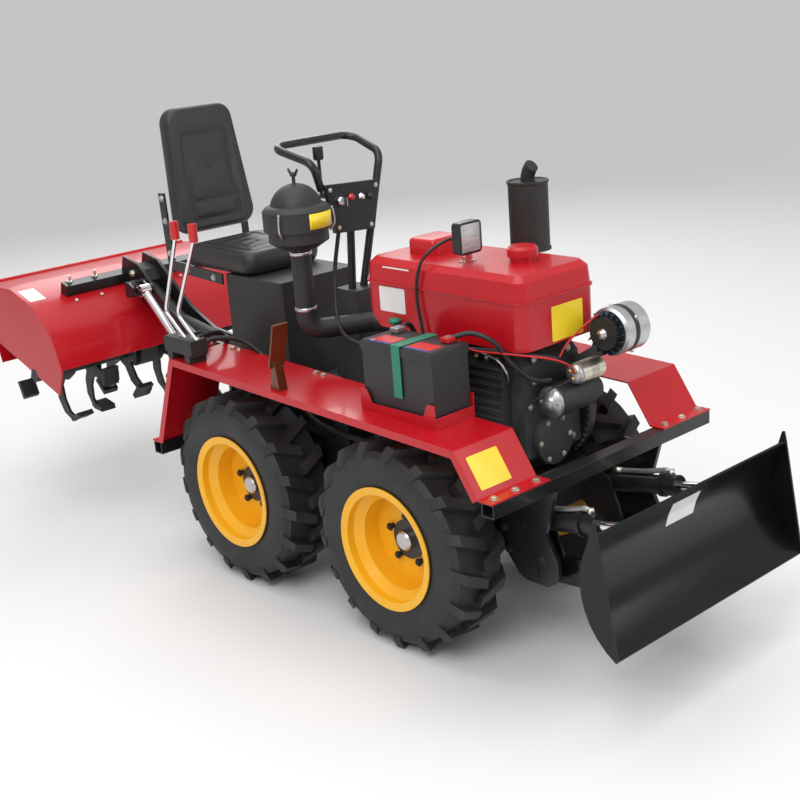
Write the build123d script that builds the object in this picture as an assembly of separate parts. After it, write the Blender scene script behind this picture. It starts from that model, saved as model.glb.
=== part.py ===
from build123d import *
import math
import os

# Ride-on mini tractor with four driven wheels, a dozer blade at the front and a rotary tiller behind.
# Millimetres. +X is forward, +Y is the operator's left, +Z is up, and the ground is at z = 0.
# Places along X are counted from the middle of the wheelbase, and export shifts the whole machine
# so that the frame's origin lies on the ground under the middle of its length.

# Driving dimensions
WHEELBASE = 677
TYRE_R = 287
TYRE_WIDTH = 182
TYRE_OUTER_Y = 403
RIM_FLANGE_R = 169.5
AXLE_X = WHEELBASE / 2
AXLE_Z = TYRE_R
WHEEL_Y = TYRE_OUTER_Y - TYRE_WIDTH / 2
TYRE_INNER_Y = TYRE_OUTER_Y - TYRE_WIDTH
CLEAR = 0.3
FIT = 0.08
OVERRUN = 5

SIDES = {"right": -1, "left": 1}
ENDS = {"front": 1, "rear": -1}


# Helpers that place simple solids between named limits

def block(x0, x1, y0, y1, z0, z1):
    return Pos((x0 + x1) / 2, (y0 + y1) / 2, (z0 + z1) / 2) * Box(abs(x1 - x0), abs(y1 - y0), abs(z1 - z0))


def disc_y(radius, y0, y1, x, z):
    return Pos(x, (y0 + y1) / 2, z) * Rot(90, 0, 0) * Cylinder(radius, abs(y1 - y0))


def disc_z(radius, z0, z1, x, y):
    return Pos(x, y, (z0 + z1) / 2) * Cylinder(radius, abs(z1 - z0))


def disc_x(radius, x0, x1, y, z):
    return Pos((x0 + x1) / 2, y, z) * Rot(0, 90, 0) * Cylinder(radius, abs(x1 - x0))


def prism_y(outline, y0, y1):
    face = make_face(Polyline(*[(x, y0, z) for x, z in outline], close=True))
    return extrude(face, amount=abs(y1 - y0), dir=(0, math.copysign(1, y1 - y0), 0))


def prism_x(outline, x0, x1):
    face = make_face(Polyline(*[(x0, y, z) for y, z in outline], close=True))
    return extrude(face, amount=abs(x1 - x0), dir=(math.copysign(1, x1 - x0), 0, 0))


def prism_z(outline, z0, z1):
    face = make_face(Polyline(*[(x, y, z0) for x, y in outline], close=True))
    return extrude(face, amount=abs(z1 - z0), dir=(0, 0, math.copysign(1, z1 - z0)))


def turned_y(outline):
    """Turns an outline of (radius, y) points about the Y axis."""
    return revolve(make_face(Polyline(*[(r, y, 0) for r, y in outline], close=True)), Axis.Y)


def turned_z(outline, x, y):
    """Turns an outline of (radius, z) points about an upright axis at x, y."""
    face = make_face(Polyline(*[(r, 0, z) for r, z in outline], close=True))
    return Pos(x, y, 0) * revolve(face, Axis.Z)


def mirrored(shape, side):
    return shape if side > 0 else mirror(shape, about=Plane.XZ)


def sheet_outline(path, depth):
    """Closes a path of (x, z) points with its own mitred offset, depth to the right of its run."""
    offset = []
    for i, (x, z) in enumerate(path):
        runs = []
        for a, b in ((i - 1, i), (i, i + 1)):
            if a >= 0 and b < len(path):
                dx, dz = path[b][0] - path[a][0], path[b][1] - path[a][1]
                length = math.hypot(dx, dz)
                runs.append((dz / length, -dx / length))
        nx, nz = sum(n[0] for n in runs), sum(n[1] for n in runs)
        scale = depth * len(runs) / (nx * nx + nz * nz)
        if len(runs) == 1:
            scale = depth
        offset.append((x + nx * scale, z + nz * scale))
    return list(path) + offset[::-1]


def tube_path(points, bend):
    """Straight runs through the points, joined by tangent arcs of radius bend."""
    corners = [Vector(*p) for p in points]
    edges = []
    start = corners[0]
    for before, corner, after in zip(corners, corners[1:], corners[2:]):
        inward, outward = (before - corner).normalized(), (after - corner).normalized()
        half_angle = math.acos(max(-1, min(1, inward.dot(outward)))) / 2
        reach = bend / math.tan(half_angle)
        first, last = corner + inward * reach, corner + outward * reach
        bisector = (inward + outward).normalized()
        middle = corner + bisector * (bend / math.sin(half_angle) - bend)
        edges += [Line(start, first), ThreePointArc(first, middle, last)]
        start = last
    edges.append(Line(start, corners[-1]))
    return Wire([edge.edge() for edge in edges])


def tube(points, radius, bend):
    path = tube_path(points, bend)
    start, heading = Vector(*points[0]), Vector(*points[1]) - Vector(*points[0])
    section = Plane(origin=start, z_dir=heading) * Circle(radius)
    return sweep(section, path=path)


def rotated(x, z, about, degrees):
    """The (x, z) point turned about a cross axis, where a positive turn lifts what lies behind."""
    turn = math.radians(degrees)
    dx, dz = x - about[0], z - about[1]
    return (about[0] + dx * math.cos(turn) + dz * math.sin(turn),
            about[1] - dx * math.sin(turn) + dz * math.cos(turn))


# Wheels: a deep drop-centre rim with its hub, and a tyre with two rows of slanted lugs

RIM_LIP_Y = 85
RIM_SHEET = 4
BEAD_R = 152
WELL_R = 130
BEAD_DEPTH = 22
WELL_DEPTH = 42
DISC_Y = -14
DISC_THICK = 7
HUB_R = 54
HUB_THICK = 9
HUB_CAP_R = 27
HUB_CAP_H = 20
WHEEL_BOLT_R = 8
WHEEL_BOLT_H = 12
WHEEL_BOLT_CIRCLE_R = 67
WHEEL_BOLTS = 5
STUB_R = 22
CASE_END_Y = 262
STUB_REACH = 34

TREAD_R = 264
SHOULDER_R = 250
SHOULDER_Y = 72
SIDEWALL_R = 214
BEAD_WIDTH = 12
LUG_PITCHES = 17
LUG_WIDTH = 30
LUG_SLANT = 46
LUG_CROSS = 7
LUG_SHOULDER_DROP = 34
LUG_CROWN_Y = 70
LUG_SIDE_GAP = 1.5
LUG_BED = 22


def rim_solid():
    lip, sheet = RIM_LIP_Y, RIM_SHEET
    outer = [(RIM_FLANGE_R, lip), (BEAD_R, lip - sheet), (BEAD_R, lip - BEAD_DEPTH),
             (WELL_R, lip - WELL_DEPTH)]
    outer += [(r, -y) for r, y in reversed(outer)]
    inner = [(RIM_FLANGE_R - sheet, lip + sheet), (BEAD_R - sheet, lip),
             (BEAD_R - sheet, lip - BEAD_DEPTH), (WELL_R - sheet, lip - WELL_DEPTH)]
    inner += [(r, -y) for r, y in reversed(inner)]
    rim = turned_y([(RIM_FLANGE_R, lip + sheet)] + outer + [(RIM_FLANGE_R, -lip - sheet)] + inner[::-1])
    disc = disc_y(WELL_R - sheet / 2, DISC_Y, DISC_Y + DISC_THICK, 0, 0)
    hub = disc_y(HUB_R, DISC_Y + DISC_THICK, DISC_Y + DISC_THICK + HUB_THICK, 0, 0)
    face_y = DISC_Y + DISC_THICK + HUB_THICK
    cap = disc_y(HUB_CAP_R, face_y, face_y + HUB_CAP_H, 0, 0)
    cap = chamfer(cap.faces().sort_by(Axis.Y)[-1].edges(), HUB_CAP_H / 4)
    stub_end = CASE_END_Y - STUB_REACH - WHEEL_Y
    stub = disc_y(STUB_R, stub_end, DISC_Y, 0, 0)
    wheel = rim + disc + hub + cap + stub
    for i in range(WHEEL_BOLTS):
        angle = 2 * math.pi * i / WHEEL_BOLTS + math.pi / 2
        x, z = WHEEL_BOLT_CIRCLE_R * math.cos(angle), WHEEL_BOLT_CIRCLE_R * math.sin(angle)
        wheel += disc_y(WHEEL_BOLT_R, DISC_Y + DISC_THICK, DISC_Y + DISC_THICK + WHEEL_BOLT_H, x, z)
    return wheel


def lug_solid(angle, side):
    """One lug of a row: a slanted bar, sunk in the tread, that the tread's envelope then trims."""
    wall_y = TYRE_WIDTH / 2 - LUG_SIDE_GAP
    half, slant = LUG_WIDTH / 2, LUG_SLANT / 2
    plan = [(slant - half, -LUG_CROSS), (slant + half, -LUG_CROSS),
            (half - slant, wall_y), (-half - slant, wall_y)]
    face = make_face(Polyline(*[(s, side * y, TREAD_R - LUG_BED) for s, y in plan], close=True))
    bar = extrude(face, amount=TYRE_R - TREAD_R + LUG_BED + OVERRUN, dir=(0, 0, 1))
    return Rot(0, angle, 0) * bar


def flat_sided(profile, hollow):
    """A ring, or a drum with closed ends, about the wheel's axis with a flat under each lug."""
    sides = 2 * LUG_PITCHES
    step = 2 * math.pi / sides
    grow = 1 / math.cos(step / 2)
    rings = []
    for i in range(sides):
        angle = (i + 0.5) * step
        rings.append([(r * grow * math.sin(angle), y, r * grow * math.cos(angle)) for r, y in profile])
    faces = []
    for i in range(sides):
        near, far = rings[i - 1], rings[i]
        for j in range(0 if hollow else 1, len(profile)):
            corners = [near[j - 1], near[j], far[j], far[j - 1]]
            faces.append(make_face(Polyline(*corners, close=True)))
    if not hollow:
        faces += [make_face(Polyline(*[ring[j] for ring in rings], close=True)) for j in (0, -1)]
    return Solid(Shell(faces))


def tyre_solid():
    half = TYRE_WIDTH / 2
    bead = BEAD_R + CLEAR
    wall_y = RIM_LIP_Y - RIM_SHEET - CLEAR
    section = [(bead, wall_y), (RIM_FLANGE_R, wall_y), (SIDEWALL_R, half), (SHOULDER_R, half - BEAD_WIDTH / 2),
               (TREAD_R, SHOULDER_Y)]
    section = section + [(r, -y) for r, y in reversed(section)]
    inside = [(bead, wall_y - BEAD_WIDTH), (SHOULDER_R - BEAD_WIDTH, half - 2 * BEAD_WIDTH)]
    inside = inside + [(r, -y) for r, y in reversed(inside)]
    carcass = flat_sided(section + inside[::-1], True)
    shoulder = TYRE_R - LUG_SHOULDER_DROP
    wall = half - LUG_SIDE_GAP
    outside = [(shoulder, -wall), (TYRE_R, -LUG_CROWN_Y), (TYRE_R, LUG_CROWN_Y), (shoulder, wall)]
    envelope = flat_sided(outside, False)
    lugs = []
    for side in (1, -1):
        for i in range(LUG_PITCHES):
            turn = 360 * (i + (side < 0) / 2) / LUG_PITCHES + 180
            lugs.append(lug_solid(turn, side) & envelope)
    tyre = carcass
    for lug in lugs:
        tyre += lug
    return tyre


def wheel_place(end, side):
    return Pos(ENDS[end] * AXLE_X, SIDES[side] * WHEEL_Y, AXLE_Z)


# Chassis: two box rails, cross members, and the plates that carry blade and tiller

RAIL_OUT_Y = 200
RAIL_WIDTH = 50
RAIL_HEIGHT = 120
CASE_R = 42
PAD_RISE = 3
RAIL_BOTTOM_Z = AXLE_Z + CASE_R + PAD_RISE
RAIL_TOP_Z = RAIL_BOTTOM_Z + RAIL_HEIGHT
RAIL_IN_Y = RAIL_OUT_Y - RAIL_WIDTH

BEAM_SIDE = 40
BEAM_HEIGHT = 36
BEAM_WALL = 4
BEAM_HALF_Y = 424
BEAM_FRONT_X = 771
BEAM_TOP_Z = 524
REAR_BEAM_BACK_X = -695
REAR_BEAM_TOP_Z = 385
REAR_BEAM_FRONT_X = REAR_BEAM_BACK_X + BEAM_SIDE
RAIL_FRONT_X = 596

PLATE_THICK = 12
PLATE_OUT_Y = RAIL_OUT_Y + PLATE_THICK
INNER_PLATE_Y = 118
INNER_PLATE_THICK = 8

ARM_PIVOT = (688, 252)
RAM_PIVOT = (642, 372)
ARM_PIN_R = 15
RAM_PIN_R = 12
PIN_HEAD_H = 3.5
PIN_HEAD_EXTRA = 6
SIDE_GAP = 6
LINK_Y = 161

LIFT_PIVOT = (-690, 540)
LIFT_PIN_R = 15
LIFT_EAR_R = 38
LIFT_EAR_Y = 56
LIFT_EAR_THICK = 12
TILLER_RAM_PIVOT = (-715, 305)
TILLER_RAM_Y = -92
TILLER_EAR_GAP = 36
EYE_HALF = 18
EAR_THICK = 8
EAR_R = 26

FENDER_OUT_Y = 428
FENDER_IN_Y = 224
FENDER_SHEET = 4
FENDER_TOP_FRONT = (654, 635)
FENDER_TOP_REAR = (-540, 674)
FENDER_REAR_FOOT_X = -662
FENDER_SKIRT = 22
FENDER_FLANGE_FRONT_X = 725

BRACKET_WIDTH = 60
BRACKET_PLATE = 6
BRACKET_REACH_Y = 275
BRACKET_X_SHARES = (0.16, 0.5, 0.84)


def fender_top_z(x):
    share = (x - FENDER_TOP_REAR[0]) / (FENDER_TOP_FRONT[0] - FENDER_TOP_REAR[0])
    return FENDER_TOP_REAR[1] + share * (FENDER_TOP_FRONT[1] - FENDER_TOP_REAR[1])


def fork_ears(place, root, y, radius, thick, gap):
    """Two parallel ears about a cross pin at place, reaching from the (x, z) points in root."""
    ears = None
    for side in (1, -1):
        y0 = y + side * gap
        ear = prism_y([*root, place], y0, y0 + side * thick) + disc_y(radius, y0, y0 + side * thick, *place)
        ears = ear if ears is None else ears + ear
    return ears


def ear_bore(place, y):
    """The hole for a ram's eye pin, through both ears of the fork that takes the eye."""
    reach = EYE_HALF + SIDE_GAP + EAR_THICK + OVERRUN
    return disc_y(RAM_PIN_R + FIT, y - reach, y + reach, *place)


def front_plate_outline():
    px, pz = ARM_PIVOT
    beam_bottom = BEAM_TOP_Z - BEAM_HEIGHT
    reach = PLATE_THICK * 2
    return [(px - 5 * reach, RAIL_TOP_Z), (px - 5 * reach, RAIL_BOTTOM_Z), (px - 2 * reach, pz - reach / 2),
            (px - reach, pz - reach), (px + 2 * reach, pz - reach), (px + 3.5 * reach, pz),
            (px + 3.5 * reach, pz + 2 * reach), (px + 2 * reach, RAM_PIVOT[1]),
            (BEAM_FRONT_X, beam_bottom), (BEAM_FRONT_X - 3 * BEAM_SIDE, beam_bottom)]


def chassis_solid():
    rail_rear = REAR_BEAM_FRONT_X
    frame = None
    for side in (1, -1):
        rail = block(rail_rear, RAIL_FRONT_X, side * RAIL_IN_Y, side * RAIL_OUT_Y, RAIL_BOTTOM_Z, RAIL_TOP_Z)
        frame = rail if frame is None else frame + rail
        frame += prism_y(front_plate_outline(), side * RAIL_OUT_Y, side * PLATE_OUT_Y)
        inner = [(RAIL_FRONT_X - BEAM_SIDE, RAIL_TOP_Z), (RAIL_FRONT_X - BEAM_SIDE, RAIL_BOTTOM_Z),
                 (ARM_PIVOT[0] - PLATE_THICK, ARM_PIVOT[1] - EAR_R), (ARM_PIVOT[0] + EAR_R, ARM_PIVOT[1] - EAR_R),
                 (ARM_PIVOT[0] + EAR_R, ARM_PIVOT[1] + EAR_R), (RAM_PIVOT[0] + EAR_R, RAM_PIVOT[1] + EAR_R)]
        frame += prism_y(inner, side * INNER_PLATE_Y, side * (INNER_PLATE_Y + INNER_PLATE_THICK))
        for place, radius in ((ARM_PIVOT, ARM_PIN_R), (RAM_PIVOT, RAM_PIN_R)):
            frame += disc_y(radius, side * INNER_PLATE_Y, side * PLATE_OUT_Y, *place)
            head = radius + PIN_HEAD_EXTRA
            frame += disc_y(head, side * PLATE_OUT_Y, side * (PLATE_OUT_Y + PIN_HEAD_H), *place)
        for share in BRACKET_X_SHARES:
            x = rail_rear + share * (RAIL_FRONT_X - rail_rear)
            low = min(fender_top_z(x - BRACKET_WIDTH / 2), fender_top_z(x + BRACKET_WIDTH / 2))
            ceiling = low - FENDER_SHEET - CLEAR
            stem = block(x - BRACKET_WIDTH / 2, x + BRACKET_WIDTH / 2, side * RAIL_OUT_Y,
                         side * (RAIL_OUT_Y + BRACKET_PLATE), RAIL_TOP_Z - BRACKET_WIDTH, ceiling)
            shelf = block(x - BRACKET_WIDTH / 2, x + BRACKET_WIDTH / 2, side * RAIL_OUT_Y,
                          side * BRACKET_REACH_Y, ceiling - BRACKET_PLATE, ceiling)
            frame += stem + shelf
    for x0, x1 in ((rail_rear, rail_rear + BEAM_SIDE), (RAIL_FRONT_X - BEAM_SIDE, RAIL_FRONT_X)):
        frame += block(x0, x1, -RAIL_IN_Y, RAIL_IN_Y, RAIL_BOTTOM_Z, RAIL_TOP_Z)
    beam = block(REAR_BEAM_BACK_X, REAR_BEAM_FRONT_X, -BEAM_HALF_Y, BEAM_HALF_Y,
                 REAR_BEAM_TOP_Z - BEAM_SIDE, REAR_BEAM_TOP_Z)
    hollow = block(REAR_BEAM_BACK_X + BEAM_WALL, REAR_BEAM_FRONT_X - BEAM_WALL,
                   -BEAM_HALF_Y - OVERRUN, BEAM_HALF_Y + OVERRUN,
                   REAR_BEAM_TOP_Z - BEAM_SIDE + BEAM_WALL, REAR_BEAM_TOP_Z - BEAM_WALL)
    frame += beam - hollow
    frame += block(rail_rear, rail_rear + PLATE_THICK, -RAIL_IN_Y, RAIL_IN_Y, RAIL_TOP_Z,
                   LIFT_PIVOT[1] + LIFT_EAR_R)
    ear_root = [(rail_rear, LIFT_PIVOT[1] - 2 * LIFT_EAR_R), (rail_rear, LIFT_PIVOT[1] + LIFT_EAR_R),
                (LIFT_PIVOT[0], LIFT_PIVOT[1] + LIFT_EAR_R), (LIFT_PIVOT[0] - LIFT_EAR_R, LIFT_PIVOT[1]),
                (LIFT_PIVOT[0] - LIFT_EAR_R / 2, LIFT_PIVOT[1] - LIFT_EAR_R)]
    for side in (1, -1):
        frame += prism_y(ear_root, side * LIFT_EAR_Y, side * (LIFT_EAR_Y + LIFT_EAR_THICK))
    frame += disc_y(LIFT_PIN_R, -LIFT_EAR_Y - LIFT_EAR_THICK, LIFT_EAR_Y + LIFT_EAR_THICK, *LIFT_PIVOT)
    low_root = [(REAR_BEAM_FRONT_X, REAR_BEAM_TOP_Z - BEAM_SIDE), (REAR_BEAM_BACK_X, REAR_BEAM_TOP_Z - BEAM_SIDE),
                (TILLER_RAM_PIVOT[0] - EAR_R / 2, TILLER_RAM_PIVOT[1] + EAR_R / 2),
                (TILLER_RAM_PIVOT[0], TILLER_RAM_PIVOT[1] - EAR_R / 2)]
    frame += fork_ears(TILLER_RAM_PIVOT, low_root, TILLER_RAM_Y, EAR_R, EAR_THICK, TILLER_EAR_GAP)
    frame += disc_y(RAM_PIN_R, TILLER_RAM_Y - TILLER_EAR_GAP - EAR_THICK,
                    TILLER_RAM_Y + TILLER_EAR_GAP + EAR_THICK, *TILLER_RAM_PIVOT)
    return frame


def front_beam_solid():
    z0 = BEAM_TOP_Z - BEAM_HEIGHT
    beam = block(BEAM_FRONT_X - BEAM_SIDE, BEAM_FRONT_X, -BEAM_HALF_Y, BEAM_HALF_Y, z0, BEAM_TOP_Z)
    return beam - block(BEAM_FRONT_X - BEAM_SIDE + BEAM_WALL, BEAM_FRONT_X - BEAM_WALL,
                        -BEAM_HALF_Y - OVERRUN, BEAM_HALF_Y + OVERRUN, z0 + BEAM_WALL, BEAM_TOP_Z - BEAM_WALL)


# Fenders: one long folded sheet over both wheels of a side, with a turned-down outer skirt

def fender_path():
    return [(REAR_BEAM_BACK_X, REAR_BEAM_TOP_Z + FENDER_SHEET), (FENDER_REAR_FOOT_X, REAR_BEAM_TOP_Z + FENDER_SHEET),
            FENDER_TOP_REAR, FENDER_TOP_FRONT, (FENDER_FLANGE_FRONT_X, BEAM_TOP_Z + FENDER_SHEET),
            (BEAM_FRONT_X, BEAM_TOP_Z + FENDER_SHEET)]


def fender_solid():
    path = fender_path()
    sheet = prism_y(sheet_outline(path, FENDER_SHEET), FENDER_IN_Y, FENDER_OUT_Y)
    skirt = prism_y(sheet_outline(path[1:-1], FENDER_SKIRT), FENDER_OUT_Y - FENDER_SHEET, FENDER_OUT_Y)
    skirt -= block(REAR_BEAM_BACK_X - FENDER_SKIRT, BEAM_FRONT_X + FENDER_SKIRT, 0, 2 * FENDER_OUT_Y, 0,
                   REAR_BEAM_TOP_Z)
    skirt -= block(BEAM_FRONT_X - BEAM_SIDE - OVERRUN, BEAM_FRONT_X + FENDER_SKIRT, 0, 2 * FENDER_OUT_Y, 0,
                   BEAM_TOP_Z)
    return sheet + skirt


# Axles: a case across the machine at each wheel pair, and the gearbox between the rails

CASE_FLANGE_R = 62
CASE_FLANGE_THICK = 14
HOUSING_R = 84
HOUSING_HALF_Y = 70
PAD_HALF_X = 45


def axle_case_solid():
    case = disc_y(CASE_R, -CASE_END_Y, CASE_END_Y, 0, AXLE_Z)
    bulge = turned_y([(0, -HOUSING_HALF_Y), (HOUSING_R / 2, -HOUSING_HALF_Y), (HOUSING_R, -HOUSING_HALF_Y / 2),
                      (HOUSING_R, HOUSING_HALF_Y / 2), (HOUSING_R / 2, HOUSING_HALF_Y), (0, HOUSING_HALF_Y)])
    case += Pos(0, 0, AXLE_Z) * bulge
    for side in (1, -1):
        case += disc_y(CASE_FLANGE_R, side * CASE_END_Y, side * (CASE_END_Y - CASE_FLANGE_THICK), 0, AXLE_Z)
        case += block(-PAD_HALF_X, PAD_HALF_X, side * RAIL_IN_Y, side * RAIL_OUT_Y, AXLE_Z, RAIL_BOTTOM_Z)
        bore_end = CASE_END_Y - STUB_REACH - OVERRUN
        case -= disc_y(STUB_R + FIT, side * bore_end, side * (CASE_END_Y + OVERRUN), 0, AXLE_Z)
    return case


GEARBOX_REAR_X = -600
GEARBOX_FRONT_X = 60
GEARBOX_HALF_Y = 130
GEARBOX_BOTTOM_Z = 376
GEARBOX_TOP_Z = 560
TOWER_REAR_X = -215
TOWER_FRONT_X = -95
TOWER_HALF_Y = 58
TOWER_TOP_Z = 848
TOWER_TAPER_SHARE = 0.78
GEARBOX_EDGE = 14
GEARBOX_RIB = 10
GEARBOX_RIBS = 6


def gearbox_solid():
    body = block(GEARBOX_REAR_X, GEARBOX_FRONT_X, -GEARBOX_HALF_Y, GEARBOX_HALF_Y, GEARBOX_BOTTOM_Z, GEARBOX_TOP_Z)
    body = chamfer(body.edges().filter_by(Axis.X), GEARBOX_EDGE)
    pitch = (GEARBOX_FRONT_X - GEARBOX_REAR_X) / (GEARBOX_RIBS + 1)
    for i in range(GEARBOX_RIBS):
        x = GEARBOX_REAR_X + pitch * (i + 1)
        body += block(x - GEARBOX_RIB / 2, x + GEARBOX_RIB / 2, -RAIL_IN_Y, RAIL_IN_Y,
                      GEARBOX_BOTTOM_Z + GEARBOX_EDGE, GEARBOX_TOP_Z - GEARBOX_EDGE)
    middle_x = (TOWER_REAR_X + TOWER_FRONT_X) / 2
    half_x = (TOWER_FRONT_X - TOWER_REAR_X) / 2
    foot = Plane(origin=(middle_x, 0, GEARBOX_TOP_Z)) * Rectangle(2 * half_x, 2 * TOWER_HALF_Y)
    head = Plane(origin=(middle_x, 0, TOWER_TOP_Z)) * Rectangle(2 * half_x * TOWER_TAPER_SHARE,
                                                              2 * TOWER_HALF_Y * TOWER_TAPER_SHARE)
    return body + loft([foot.face(), head.face()])


# Engine: a horizontal single cylinder with its head to the rear, flywheel on the left side

CRANK = (432, 590)
CRANKCASE_X = (300, 592)
CRANKCASE_Y = (-112, 100)
CRANKCASE_Z = (470, 780)
SUMP_Z = RAIL_TOP_Z - 20
CYLINDER_X = (84, 300)
CYLINDER_HALF_Y = 86
CYLINDER_Z = (545, 770)
HEAD_THICK = 34
COVER_X = (424, 548)
COVER_OUT_Y = -150
COVER_Z = (566, 748)
COVER_RIBS = 9
COVER_RIB_H = 7
COVER_RIB_DEPTH = 8
FRONT_COVER_R = 68
FRONT_COVER_THICK = 16
TANK_SEAT_Z = 800
ENGINE_EDGE = 16
MOUNT_HALF_X = 40
ENGINE_MOUNT_SHARES = (0.12, 0.88)
CRADLE_X = (110, 200)
CRADLE_WEB_HALF_Y = 56


def engine_solid():
    case = block(*CRANKCASE_X, *CRANKCASE_Y, *CRANKCASE_Z)
    case = chamfer(case.edges().filter_by(Axis.Y), ENGINE_EDGE * 2)
    case = chamfer(case.edges().filter_by(Axis.X), ENGINE_EDGE / 2)
    case += block(CRANKCASE_X[0] + ENGINE_EDGE * 2, CRANKCASE_X[1] - ENGINE_EDGE * 3,
                  CRANKCASE_Y[0] + ENGINE_EDGE, CRANKCASE_Y[1] - ENGINE_EDGE, SUMP_Z, CRANKCASE_Z[0])
    barrel = block(CYLINDER_X[0], CYLINDER_X[1], -CYLINDER_HALF_Y, CYLINDER_HALF_Y, *CYLINDER_Z)
    barrel = chamfer(barrel.edges().filter_by(Axis.X), ENGINE_EDGE)
    head = block(CYLINDER_X[0] - HEAD_THICK, CYLINDER_X[0], -CYLINDER_HALF_Y + ENGINE_EDGE,
                 CYLINDER_HALF_Y - ENGINE_EDGE, CYLINDER_Z[0] + ENGINE_EDGE, TANK_SEAT_Z - ENGINE_EDGE / 2)
    head = fillet(head.edges().filter_by(Axis.X), ENGINE_EDGE)
    case += barrel + head
    case += block(CYLINDER_X[0] + ENGINE_EDGE, CRANKCASE_X[1] - 2 * ENGINE_EDGE, -CYLINDER_HALF_Y + ENGINE_EDGE,
                  CYLINDER_HALF_Y - ENGINE_EDGE, CYLINDER_Z[0] + ENGINE_EDGE, TANK_SEAT_Z)
    cover = block(*COVER_X, CRANKCASE_Y[0], COVER_OUT_Y + COVER_RIB_DEPTH, *COVER_Z)
    case += cover
    pitch = (COVER_Z[1] - COVER_Z[0] - COVER_RIB_H) / (COVER_RIBS - 1)
    for i in range(COVER_RIBS):
        z = COVER_Z[0] + i * pitch
        case += block(*COVER_X, COVER_OUT_Y, COVER_OUT_Y + COVER_RIB_DEPTH, z, z + COVER_RIB_H)
    case += disc_x(FRONT_COVER_R, CRANKCASE_X[1], CRANKCASE_X[1] + FRONT_COVER_THICK, -ENGINE_EDGE,
                   CRANKCASE_Z[0] + FRONT_COVER_R)
    for share in ENGINE_MOUNT_SHARES:
        x = CRANKCASE_X[0] + share * (CRANKCASE_X[1] - CRANKCASE_X[0])
        case += block(x - MOUNT_HALF_X, x + MOUNT_HALF_X, -RAIL_OUT_Y + RAIL_WIDTH / 4, CRANKCASE_Y[0] + ENGINE_EDGE,
                      RAIL_TOP_Z, RAIL_TOP_Z + 2 * ENGINE_EDGE)
    cradle_y = RAIL_OUT_Y - RAIL_WIDTH / 4
    case += block(*CRADLE_X, -cradle_y, cradle_y, RAIL_TOP_Z, RAIL_TOP_Z + ENGINE_EDGE)
    case += block(*CRADLE_X, -CRADLE_WEB_HALF_Y, CRADLE_WEB_HALF_Y, RAIL_TOP_Z, CYLINDER_Z[0] + ENGINE_EDGE)
    return case


FLYWHEEL_R = 180
RING_GEAR_R = 185
FLYWHEEL_Y = (108, 144)
RING_GEAR_WIDTH = 12
FLYWHEEL_DISH = 10
FLYWHEEL_HUB_R = 52
RING_TEETH = 60
TOOTH_DEPTH = 6


def flywheel_solid():
    y0, y1 = FLYWHEEL_Y
    wheel = disc_y(FLYWHEEL_R, y0 + RING_GEAR_WIDTH, y1, *CRANK)
    wheel -= disc_y(FLYWHEEL_R - 2 * FLYWHEEL_DISH, y1 - FLYWHEEL_DISH, y1 + OVERRUN, *CRANK)
    wheel += disc_y(FLYWHEEL_HUB_R, CRANKCASE_Y[1], y1, *CRANK)
    outline = []
    for i in range(RING_TEETH):
        for share, radius in ((0, RING_GEAR_R), (0.45, RING_GEAR_R), (0.55, RING_GEAR_R - TOOTH_DEPTH),
                              (0.9, RING_GEAR_R - TOOTH_DEPTH)):
            angle = 2 * math.pi * (i + share) / RING_TEETH
            outline.append((CRANK[0] + radius * math.cos(angle), CRANK[1] + radius * math.sin(angle)))
    return wheel + prism_y(outline, y0, y0 + RING_GEAR_WIDTH)


# Fuel tank: a bead where its two pressed halves meet, sloping shoulders, and a filler hopper behind

TANK_X = (58, 636)
TANK_Y = (-152, 128)
TANK_BEAD_Z = 921
TANK_BEAD = 5
TANK_TOP_Z = 988
TANK_CORNER_R = 34
TANK_TOP_DRAW = 16
TANK_REAR_CUT = 62
HOPPER_AT = (198, -8)
HOPPER_HALF = (52, 58)
HOPPER_H = 44
CAP_AT = (497, 10)
CAP_NECK_R = 34
CAP_R = 40
CAP_NECK_H = 14
CAP_H = 26


def rounded_plan(grow, z, corner):
    x0, x1, y0, y1 = TANK_X[0] - grow, TANK_X[1] + grow, TANK_Y[0] - grow, TANK_Y[1] + grow
    plan = RectangleRounded(x1 - x0, y1 - y0, corner)
    return (Plane(origin=((x0 + x1) / 2, (y0 + y1) / 2, z)) * plan).face()


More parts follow.
